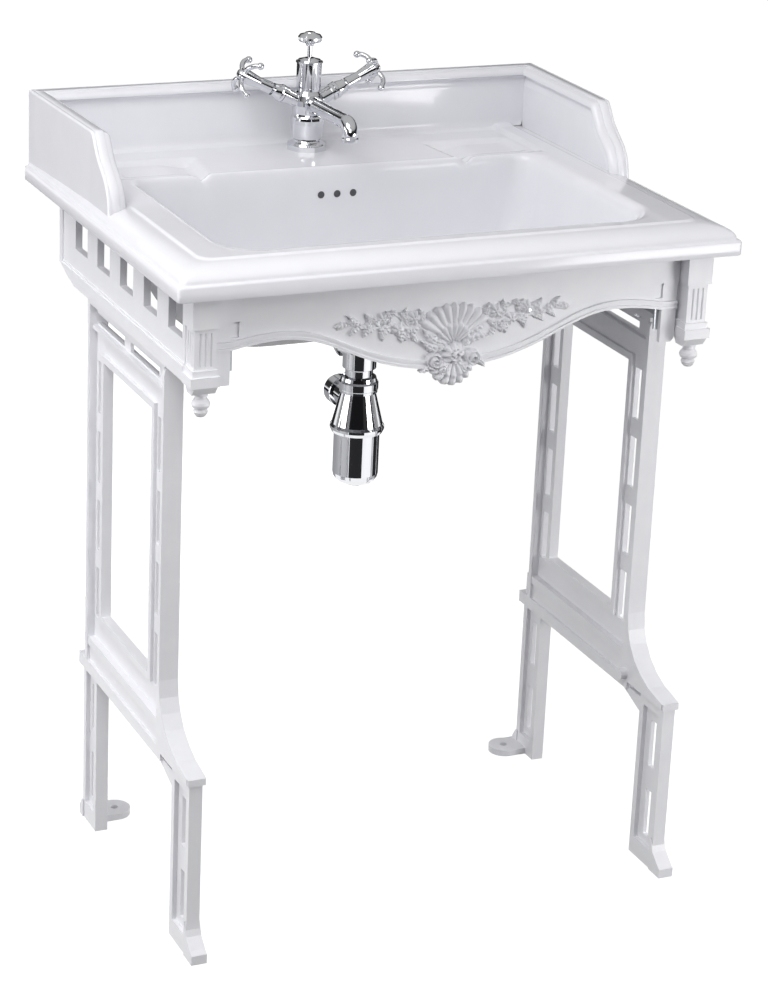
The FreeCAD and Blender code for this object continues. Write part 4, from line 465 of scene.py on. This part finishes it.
def splash_mesh():
    verts, faces = [], []

    def face(points, flip):
        start = len(verts)
        verts.extend(points)
        order = tuple(range(start, start + len(points)))
        faces.append(order[::-1] if flip else order)

    lines = side_lines()
    for side in (-1, 1):
        starts = []
        for (inward, down), line in zip(CAP, lines):
            starts.append(len(verts))
            verts += [point(side * (outer_x(d) - inward), d, z) for d, z in line]
        for a, b in zip(starts[:-1], starts[1:]):
            if side > 0:
                bridge(faces, a, b, len(lines[0]), closed=False)
            else:
                bridge(faces, b, a, len(lines[0]), closed=False)
        for line, inward, low, flip in ((lines[0], 0.0, 764.0, side > 0), (lines[-1], 17.0, 774.0, side < 0)):
            ds = [d for d, z in line if z > low] + [line[-1][0]]
            zs = [z for d, z in line if z > low] + [low]
            for k in range(len(ds) - 1):
                if ds[k + 1] - ds[k] < 1e-6:
                    continue
                quad = [(ds[k], zs[k]), (ds[k + 1], max(zs[k + 1], low)), (ds[k + 1], low), (ds[k], low)]
                if quad[1][1] - low < 1e-6:
                    quad.pop(1)
                face([point(side * (outer_x(d) - inward), d, z) for d, z in quad], flip)
    starts = []
    rows = [(a, SPLASH_Z - b) for a, b in CAP] + [(17.0, 790.0), (17.2, 785.0), (18.2, 781.8), (20.0, 779.8)]
    for share in (-1.0, -0.5, 0.0, 0.5, 1.0):
        starts.append(len(verts))
        for a, z in rows:
            verts.append(point(share * (outer_x(a) - a), a, z))
    for a, b in zip(starts[:-1], starts[1:]):
        bridge(faces, b, a, len(rows), closed=False)
    x_out = outer_x(0.0)
    face([point(x, 0.0, z) for x, z in (
        (-x_out, SPLASH_Z - 2.2), (x_out, SPLASH_Z - 2.2), (x_out, 764.0), (WIDE / 2, LIP_Z),
        (WIDE / 2, RIM_Z), (-WIDE / 2, RIM_Z), (-WIDE / 2, LIP_Z), (-x_out, 764.0))], False)
    return verts, faces


def box_faces(verts, faces, x0, x1, d0, d1, z0, z1, open_back=False):
    first = len(verts)
    for z in (z0, z1):
        for x, d in ((x0, d0), (x1, d0), (x1, d1), (x0, d1)):
            verts.append(point(x, d, z))
    quads = ((0, 4, 5, 1), (0, 1, 2, 3), (7, 6, 5, 4), (1, 5, 6, 2), (2, 6, 7, 3), (3, 7, 4, 0))
    for quad in quads[1 if open_back else 0:]:
        faces.append(tuple(first + i for i in quad))


def bored_square(verts, faces, cx, cz, half, radius, deep):
    """A square of the back face with a round hole in it, as deep as asked, and its end."""
    starts = []
    for size, d in ((half, 0.0), (radius + 0.6, 0.0), (radius, 0.6), (radius, deep)):
        starts.append(len(verts))
        for i in range(24):
            c, k = math.cos(math.tau * i / 24), math.sin(math.tau * i / 24)
            reach = size / max(abs(c), abs(k)) if size == half else size
            verts.append(point(cx + reach * c, d, cz + reach * k))
    for a, b in zip(starts[:-1], starts[1:]):
        bridge(faces, b, a, 24)
    faces.append(tuple(range(starts[-1], starts[-1] + 24)))


def back_rib(verts, faces):
    """The rib under the back edge with its two holes for the wall bolts."""
    half = (RIM_Z - RIB_Z) / 2
    inner, outer = 140.0 - half, 140.0 + half
    box_faces(verts, faces, -RIB_HALF, RIB_HALF, 0.0, RIB_DEEP, RIB_Z, RIM_Z, open_back=True)
    for x0, x1 in ((-RIB_HALF, -outer), (-inner, inner), (outer, RIB_HALF)):
        first = len(verts)
        verts += [point(x, 0.0, z) for x, z in ((x0, RIB_Z), (x0, RIM_Z), (x1, RIM_Z), (x1, RIB_Z))]
        faces.append(tuple(range(first, first + 4)))
    for x in (-140.0, 140.0):
        bored_square(verts, faces, x, RIB_Z + half, half, 6.0, 20.5)


all_verts, all_faces = [], []
for maker in (basin_top, basin_outside, basin_under, splash_mesh):
    verts, faces = maker()
    first = len(all_verts)
    all_verts += verts
    all_faces += [tuple(first + i for i in face) for face in faces]
back_rib(all_verts, all_faces)
# The rib's root, the overflow duct's boss behind the bowl, and its way to the waste
box_faces(all_verts, all_faces, -RIB_HALF, RIB_HALF, 0.5, RIB_DEEP - 0.1, RIM_Z - 0.5, 764.0)
box_faces(all_verts, all_faces, -30.0, 30.0, 119.0, 143.0, FOOT_Z, 759.0)
box_faces(all_verts, all_faces, -29.8, 29.8, 142.0, WASTE_D, FOOT_Z + 0.4, FOOT_Z + 21.6)
mesh_piece("china_basin", all_verts, all_faces, "stand", china, ["basin"], sharp=50.0)

# %% [markdown]
# Three overflow holes high in the bowl's back wall. Each has a soft glazed edge that stands a little proud of
# the wall, and just inside it a flat disc painted dark: painted shade for the unlit inside of the hole and
# the duct behind.

# %% Overflow holes: glazed edges and discs of painted shade
HOLES_X, HOLE_Z, HOLE_POINTS, WALL_LEAN = (-20.0, 0.0, 20.0), RING_Z - 34.0, 24, 0.045


def hole_ring(verts, x, radius, out):
    """Points of a circle on the leaning back wall, a little in front of it."""
    for i in range(HOLE_POINTS):
        a = math.tau * i / HOLE_POINTS
        z = HOLE_Z + radius * math.sin(a)
        lean = (RING_Z - z - 34.0) * WALL_LEAN
        verts.append(point(x + radius * math.cos(a), BOWL_BACK + 1.4 + lean + out, z))


# The discs' colour is painted shade: a dark grey with random lighter and darker patches, standing in for the
# unlit inside of each hole.
shadow, tree, shader = new_material("painted_shade_in_overflow", {
    "Base Color": linear("#4A4A4E"), "Roughness": 0.5})
shade_noise = add_node(tree, "ShaderNodeTexNoise", {"Scale": 1.0}, {"Vector": object_space(tree, 1 / 6.0)})
two_tints(tree, shader, shade_noise.outputs["Fac"], "#3C3C40", "#58585C")
verts, faces = [], []
for x in HOLES_X:
    start = len(verts)
    rings = ((5.2, 0.0), (4.7, 0.35), (4.3, 0.1), (4.2, -0.6))
    for radius, out in rings:
        hole_ring(verts, x, radius, 0.35 + out)
    for k in range(len(rings) - 1):
        bridge(faces, start + HOLE_POINTS * k, start + HOLE_POINTS * (k + 1), HOLE_POINTS)
mesh_piece("overflow_edges", verts, faces, "stand", china)
# The discs of painted shade, a little in front of the wall, which has no opening behind them.
verts, faces = [], []
for x in HOLES_X:
    start = len(verts)
    hole_ring(verts, x, 4.4, 0.25)
    faces.append(tuple(range(start, start + HOLE_POINTS)))
mesh_piece("overflow_shade_discs", verts, faces, "stand", shadow)

# %% [markdown]
# The apron's ornament was carved in wood as a pattern and cast in iron: a ribbed shell over a
# rosette with two scrolls and a scalloped lip, and a spray of flowers and leaves on either side.
# Carving is relief, so each casting is built as a height over the apron's face on a fine grid,
# with a closed back. Every form gives a height, and the highest one wins.

# %% Relief carving
FACE_D, GRID = 470.0, 0.62


def dome(share, power=0.5):
    """1 in the middle of a form, falling to 0 at its outline, where share reaches 1."""
    return max(0.0, 1.0 - share * share) ** power


def leaf(x0, z0, length, width, tilt, proud, teeth=4):
    """A toothed leaf with a sunk middle vein, growing from (x0, z0) at a tilt from upright."""
    a = math.radians(tilt)
    sx, sz = math.sin(a), math.cos(a)

    def height(x, z):
        u = ((x - x0) * sx + (z - z0) * sz) / length
        if u <= 0.0 or u >= 1.0:
            return 0.0
        w = (x - x0) * sz - (z - z0) * sx + 0.12 * length * math.sin(math.pi * u)
        edge = width * math.sin(math.pi * u ** 0.75) ** 0.8 * (0.8 + 0.2 * math.cos(math.tau * teeth * u))
        if abs(w) >= edge:
            return 0.0
        vein = 0.45 * math.exp(-(w / 0.7) ** 2)
        rib = 0.16 * math.cos(math.tau * (teeth * u - abs(w) / (1.3 * width)))
        return proud * (dome(w / edge) * (0.8 + rib) - vein * 0.6 + 0.25 * u)
    return height


def flower(x0, z0, radius, petals, proud, turn=0.0):
    """A round flower: cupped petals with a groove between them and a bud in the middle."""
    def height(x, z):
        r, a = math.hypot(x - x0, z - z0), math.atan2(z - z0, x - x0) + turn
        lobe = abs(math.cos(petals * a / 2))
        edge = radius * (0.72 + 0.28 * lobe)
        if r >= edge:
            return 0.0
        cup = dome(r / edge, 0.4) * (0.45 + 0.55 * lobe ** 0.6) * (0.55 + 0.45 * math.sin(math.pi * r / edge))
        return proud * max(cup, 1.15 * math.exp(-(r / (0.24 * radius)) ** 2))
    return height


def scroll(x0, z0, radius, proud, way):
    """A volute: a ridge that winds in from the rim to an eye."""
    def height(x, z):
        r, a = math.hypot(x - x0, z - z0), math.atan2(z - z0, way * (x - x0))
        if r >= radius:
            return 0.0
        wind = 0.5 + 0.5 * math.cos(math.tau * r / (0.46 * radius) + a)
        return proud * dome(r / radius, 0.35) * (0.42 + 0.58 * wind)
    return height


def fan(x0, z0, reach, spread, ribs, proud, down=False, inner=0.12, flare=-0.16):
    """Ribs that spread from a root, deep grooves between them and a scalloped outer edge."""
    def height(x, z):
        dz = (z0 - z) if down else (z - z0)
        r, a = math.hypot(x - x0, dz), math.degrees(math.atan2(x - x0, dz))
        if abs(a) > spread or r < inner * reach:
            return 0.0
        rib = abs(math.sin(math.pi * ribs * (a + spread) / (2 * spread)))
        edge = reach * (0.9 + 0.1 * rib) * (1.0 + flare * (abs(a) / spread) ** 2)
        if r >= edge:
            return 0.0
        share = r / edge
        swell = (0.35 + 0.65 * share) * dome(max(0.0, (share - 0.8) / 0.2), 0.5)
        return proud * swell * (0.34 + 0.66 * rib ** 0.55) * dome(a / spread, 0.18)
    return height


def stem(points, radius):
    """A round stalk along a broken line."""
    def height(x, z):
        best = 9.0
        for (ax, az), (bx, bz) in zip(points[:-1], points[1:]):
            run = ((x - ax) * (bx - ax) + (z - az) * (bz - az)) / ((bx - ax) ** 2 + (bz - az) ** 2)
            run = min(max(run, 0.0), 1.0)
            best = min(best, math.hypot(x - ax - run * (bx - ax), z - az - run * (bz - az)))
        return 1.4 * radius * dome(best / radius) if best < radius else 0.0
    return height


def relief(name, node_name, box, step, forms, side=1, limit=13.8):
    """A closed casting: the forms' heights in front of the apron's face and a flat back behind it."""
    x0, x1, z0, z1 = box
    nx, nz = int((x1 - x0) / step) + 1, int((z1 - z0) / step) + 1
    tall = [[min(limit, max(form(x0 + i * step, z0 + j * step) for form in forms)) for i in range(nx)]
            for j in range(nz)]
    verts, index, faces, edges = [], {}, [], {}

    def at(i, j):
        if (i, j) not in index:
            index[i, j] = len(verts)
            x, z = side * (x0 + i * step), z0 + j * step
            verts.append(point(x, FACE_D - 0.2 + max(tall[j][i], 0.0), z))
            verts.append(point(x, FACE_D - 4.5, z))
        return index[i, j]

    for j in range(nz - 1):
        for i in range(nx - 1):
            ring = ((i, j), (i + 1, j), (i + 1, j + 1), (i, j + 1))
            if max(tall[b][a] for a, b in ring) < 0.15:
                continue
            ids = [at(a, b) for a, b in ring]
            ids = ids if side > 0 else ids[::-1]
            faces.append(tuple(ids))
            faces.append(tuple(k + 1 for k in reversed(ids)))
            for k in range(4):
                pair = (ids[k], ids[(k + 1) % 4])
                if pair[::-1] in edges:
                    del edges[pair[::-1]]
                else:
                    edges[pair] = True
    faces += [(b, a, a + 1, b + 1) for a, b in edges]
    return mesh_piece(name, verts, faces, "stand", iron, [node_name], sharp=75.0)


# %% Shell, rosette, scrolls and lip
shell_forms = [
    fan(0.0, 668.0, 43.5, 64.0, 9, 9.5, flare=0.12), fan(0.0, 664.0, 27.0, 60.0, 7, 11.0, inner=0.2),
    fan(0.0, 652.0, 33.5, 62.0, 7, 10.5, down=True), fan(0.0, 650.0, 23.0, 60.0, 5, 12.5, down=True),
    flower(0.0, 654.0, 14.5, 8, 11.0), scroll(0.0, 654.0, 9.5, 13.6, 1),
    scroll(-22.0, 648.0, 9.8, 12.0, -1), scroll(22.0, 648.0, 9.8, 12.0, 1),
    scroll(-13.5, 638.0, 6.8, 11.5, -1), scroll(13.5, 638.0, 6.8, 11.5, 1),
    leaf(-9.0, 662.0, 31.0, 6.5, -72.0, 8.5, 5), leaf(9.0, 662.0, 31.0, 6.5, 72.0, 8.5, 5),
    leaf(-12.0, 666.0, 29.0, 5.5, -54.0, 8.0, 5), leaf(12.0, 666.0, 29.0, 5.5, 54.0, 8.0, 5),
    leaf(-26.0, 646.0, 15.0, 4.5, -130.0, 7.0), leaf(26.0, 646.0, 15.0, 4.5, 130.0, 7.0)]
relief("carved_shell", "shell_ornament", (-41.0, 41.0, 618.2, 713.4), GRID, shell_forms)

# %% Flower sprays
spray_forms = [
    stem([(34.0, 690.0), (52.0, 686.0), (74.0, 692.0), (96.0, 689.0), (118.0, 696.0), (134.0, 693.0)], 1.9),
    stem([(56.0, 688.0), (64.0, 700.0), (72.0, 704.0)], 1.4), stem([(92.0, 690.0), (98.0, 701.0)], 1.3),
    flower(48.0, 697.0, 8.8, 6, 6.8), flower(66.0, 687.0, 8.2, 5, 6.6, 0.4), flower(84.0, 699.0, 8.0, 6, 6.4),
    flower(101.0, 691.0, 6.6, 5, 5.8, 0.9), flower(119.0, 699.0, 5.4, 5, 5.2),
    flower(72.0, 705.0, 4.6, 5, 5.4), flower(56.0, 678.0, 5.6, 5, 5.6, 0.3),
    flower(132.0, 695.0, 3.6, 5, 4.4)]
for x0, z0, length, width, tilt in (
        (38.0, 690.0, 17.0, 4.6, 10.0), (40.0, 688.0, 16.0, 4.4, 140.0), (54.0, 690.0, 18.0, 4.2, 35.0),
        (58.0, 686.0, 15.0, 4.4, 170.0), (62.0, 696.0, 15.0, 3.6, -20.0), (72.0, 688.0, 17.0, 4.4, 128.0),
        (76.0, 692.0, 17.0, 4.0, 15.0), (78.0, 690.0, 16.0, 3.6, 160.0), (88.0, 692.0, 18.0, 4.0, 50.0),
        (92.0, 689.0, 16.0, 3.8, 118.0), (98.0, 692.0, 16.0, 3.6, 20.0), (106.0, 691.0, 17.0, 3.6, 62.0),
        (108.0, 692.0, 15.0, 3.2, 122.0), (116.0, 696.0, 14.0, 2.8, 40.0), (122.0, 696.0, 16.0, 3.0, 96.0),
        (44.0, 684.0, 13.0, 3.6, 100.0), (84.0, 692.0, 14.0, 3.4, 195.0), (48.0, 680.0, 13.0, 3.6, 215.0)):
    spray_forms.append(leaf(x0, z0, length, width, tilt, 5.4))
for side, tag in ((-1, "left"), (1, "right")):
    relief("carved_spray_" + tag, "spray_" + tag, (33.0, 139.6, 671.0, 711.0), GRID, spray_forms, side, 7.6)

# %% [markdown]
# The camera stands to the left of the middle at a tall person's eye height and looks down at the
# basin through a slightly long lens. Its place and turn were solved from the straight edges.

# %% Camera
YAW, PITCH, ROLL = 0.4351, 0.3279, 0.0444
camera_data = bpy.data.cameras.new("view_camera")
camera = bpy.data.objects.new("view_camera", camera_data)
bpy.context.scene.collection.objects.link(camera)
look = Vector((math.sin(YAW) * math.cos(PITCH), math.cos(YAW) * math.cos(PITCH), -math.sin(PITCH)))
level = Vector((math.cos(YAW), -math.sin(YAW), 0.0))
upward = level.cross(look)
right = math.cos(ROLL) * level + math.sin(ROLL) * upward
up = -math.sin(ROLL) * level + math.cos(ROLL) * upward
turn = Matrix((right, up, -look)).transposed().to_4x4()
camera.matrix_world = Matrix.Translation((-1.2646, -2.7667, 1.5685)) @ turn
camera_data.sensor_fit = "AUTO"
camera_data.sensor_width = 36.0
camera_data.lens = 2819.28 * 36.0 / 998.0
camera_data.shift_y = -100.0 / 998.0
bpy.context.scene.camera = camera
print("camera", [round(v, 3) for v in camera.location], "lens", round(camera_data.lens, 1), "mm")

# %% [markdown]
# The floor is grey paper as far as its light on the object goes. Seen straight on, in mirrors or
# through glass, it adds a glow of its own, so the background is white without any more light on
# the object. At this strength the paper is past white all over, so no shadow shows on it.

# %% Floor
FLOOR_GLOW = 1.0


def stage_mesh(name, verts, faces, material):
    mesh = bpy.data.meshes.new(name)
    mesh.from_pydata(verts, [], faces)
    obj = bpy.data.objects.new(name, mesh)
    bpy.context.scene.collection.objects.link(obj)
    mesh.materials.append(material)
    obj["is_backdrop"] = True
    print(name, "for the picture only")


def glow_for(tree, shader, strength, rays):
    """A white glow that only the given rays see."""
    glow = add_node(tree, "ShaderNodeMath", {"operation": "MULTIPLY", 1: strength}, {0: rays})
    shader.inputs["Emission Color"].default_value = (1, 1, 1, 1)
    tree.links.new(glow.outputs[0], shader.inputs["Emission Strength"])


def seen_rays(tree):
    """1 for rays from the camera, off a mirror or through glass, 0 for light that lands on things."""
    rays = add_node(tree, "ShaderNodeLightPath")
    either = add_node(tree, "ShaderNodeMath", {"operation": "MAXIMUM"},
                      {0: rays.outputs["Is Camera Ray"], 1: rays.outputs["Is Glossy Ray"]})
    return add_node(tree, "ShaderNodeMath", {"operation": "MAXIMUM"},
                    {0: either.outputs[0], 1: rays.outputs["Is Transmission Ray"]}).outputs[0]


paper, tree, shader = new_material("studio_paper", {"Roughness": 0.9, "Specular IOR Level": 0.0})
fibre = add_node(tree, "ShaderNodeTexNoise", {"Scale": 1.0}, {"Vector": object_space(tree, 1 / 30.0)})
two_tints(tree, shader, fibre.outputs["Fac"], "#6E6E6E", "#747474")
glow_for(tree, shader, FLOOR_GLOW, seen_rays(tree))
stage_mesh("studio_floor", [(-9, -9, 0), (9, -9, 0), (9, 9, 0), (-9, 9, 0)], [(0, 1, 2, 3)], paper)

# %% [markdown]
# Chrome shows what stands round it, so felts lie on the floor round the object: dark ones in front
# and behind, which give the dark middle and the dark edges of each tube, and a pale grey one on the
# left. A dark card stands behind the camera. Camera rays see all of them as white as the paper, so
# they don't show in the picture, while mirrors see the felt.

# %% Felts and card for the chrome
AHEAD, ASIDE = Vector((-0.415, -0.91, 0.0)), Vector((0.91, -0.415, 0.0))
FELT_GLOW, FELT_LIFT = 1.0, Vector((0, 0, 0.003))
CARD_AT, CARD_HALF, CARD_TALL = 4.3, 2.6, 2.2


def felt_material(name, dark, light):
    felt, tree, shader = new_material(name, {"Roughness": 0.95, "Specular IOR Level": 0.0})
    nap = add_node(tree, "ShaderNodeTexNoise", {"Scale": 1.0, "Detail": 3.0},
                   {"Vector": object_space(tree, 1 / 8.0)})
    two_tints(tree, shader, nap.outputs["Fac"], dark, light)
    rays = add_node(tree, "ShaderNodeLightPath")
    glow_for(tree, shader, FELT_GLOW, rays.outputs["Is Camera Ray"])
    return felt


def floor_sector(name, from_angle, to_angle, near, far, material):
    """A flat sector round the object; angles in degrees from the camera's side, to its right."""
    verts, steps = [], 12
    for k in range(steps + 1):
        a = math.radians(from_angle + (to_angle - from_angle) * k / steps)
        way = AHEAD * math.cos(a) + ASIDE * math.sin(a)
        verts += [tuple(way * near + FELT_LIFT), tuple(way * far + FELT_LIFT)]
    faces = [(2 * k, 2 * k + 2, 2 * k + 3, 2 * k + 1) for k in range(steps)]
    stage_mesh(name, verts, faces, material)


dark_felt = felt_material("dark_felt", "#2A2A2C", "#343436")
grey_felt = felt_material("grey_felt", "#B0B0B2", "#BABABC")
floor_sector("dark_felt_front", -33.0, 33.0, 0.75, 4.3, dark_felt)
floor_sector("grey_felt_left", -180.0, -36.0, 0.75, 2.0, grey_felt)
floor_sector("dark_felt_back_left", -180.0, -100.0, 2.0, 4.5, dark_felt)
floor_sector("dark_felt_back_right", 98.0, 180.0, 0.75, 4.5, dark_felt)
card = [tuple(AHEAD * CARD_AT + ASIDE * w + Vector((0, 0, h))) for w, h in (
    (-CARD_HALF, 0.0), (CARD_HALF, 0.0), (CARD_HALF, CARD_TALL), (-CARD_HALF, CARD_TALL))]
stage_mesh("dark_card", card, [(0, 1, 2, 3)], dark_felt)

# %% [markdown]
# Light comes mostly from the left: one soft box high up and a larger one low beside the object, so
# the left sides and the deck are the brightest. A weak one in front lifts the splashback, and one
# low on the right fills the apron. The surround gives the rest, a little more from above. Camera
# rays see the surround as plain white, and mirrors see a ramp with a dark band low down.

# %% Surround and lamps
world = bpy.data.worlds.new("studio_surround")
bpy.context.scene.world = world
world.use_nodes = True
tree = world.node_tree
tree.nodes.clear()
where = add_node(tree, "ShaderNodeTexCoord")
split = add_node(tree, "ShaderNodeSeparateXYZ", None, {"Vector": where.outputs["Generated"]})
height = add_node(tree, "ShaderNodeMapRange", {"From Min": -0.25, "From Max": 1.0},
                  {"Value": split.outputs["Z"]})
band = add_node(tree, "ShaderNodeValToRGB", None, {"Fac": height.outputs["Result"]})
ramp = band.color_ramp
ramp.elements[0].position, ramp.elements[0].color = 0.0, (0.9, 0.9, 0.9, 1)
ramp.elements[1].position, ramp.elements[1].color = 1.0, (1.0, 1.0, 1.0, 1)
for place, shade in ((0.19, 0.7), (0.22, 0.07), (0.46, 0.05), (0.52, 0.75), (0.7, 0.95)):
    step = ramp.elements.new(place)
    step.color = (shade, shade, shade, 1)
rays = add_node(tree, "ShaderNodeLightPath")
mirrored = add_node(tree, "ShaderNodeBackground", {"Strength": 0.55}, {"Color": band.outputs["Color"]})
fill = add_node(tree, "ShaderNodeMapRange",
                {"From Min": 0.0, "From Max": 1.0, "To Min": 0.52, "To Max": 0.64},
                {"Value": split.outputs["Z"]})
soft = add_node(tree, "ShaderNodeBackground", {"Color": (1, 1, 1, 1)}, {"Strength": fill.outputs["Result"]})
white = add_node(tree, "ShaderNodeBackground", {"Color": (1, 1, 1, 1), "Strength": 1.0})
bounce = add_node(tree, "ShaderNodeMixShader", None, {0: rays.outputs["Is Glossy Ray"], 1: soft.outputs[0],
                                                      2: mirrored.outputs[0]})
pick = add_node(tree, "ShaderNodeMixShader", None, {0: rays.outputs["Is Camera Ray"], 1: bounce.outputs[0],
                                                    2: white.outputs[0]})
add_node(tree, "ShaderNodeOutputWorld", None, {"Surface": pick.outputs[0]})


def soft_lamp(name, place, aim, size, power):
    data = bpy.data.lights.new(name, "AREA")
    data.shape = "RECTANGLE"
    data.size, data.size_y = size
    data.energy = power
    lamp = bpy.data.objects.new(name, data)
    bpy.context.scene.collection.objects.link(lamp)
    lamp.location = place
    lamp.rotation_euler = (Vector(aim) - Vector(place)).to_track_quat("-Z", "Y").to_euler()
    print(name, power, "W")


soft_lamp("left_lamp", (-0.9, -0.5, 1.9), (-0.1, 0.0, 0.78), (1.0, 0.8), 11.0)
soft_lamp("low_left_lamp", (-2.0, 0.2, 0.7), (0.0, 0.0, 0.5), (1.4, 1.2), 15.0)
soft_lamp("front_lamp", (-0.5, -0.9, 1.3), (-0.15, 0.2, 0.8), (0.7, 0.5), 2.0)
soft_lamp("right_lamp", (1.2, -1.5, 0.55), (0.1, -0.2, 0.6), (0.8, 0.8), 13.5)

bpy.context.scene.view_settings.view_transform = "Standard"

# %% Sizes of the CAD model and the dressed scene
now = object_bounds()
for title, box in (("cad", cad_box), ("visual", now)):
    print(title, [tuple(round(v, 4) for v in corner) for corner in box])
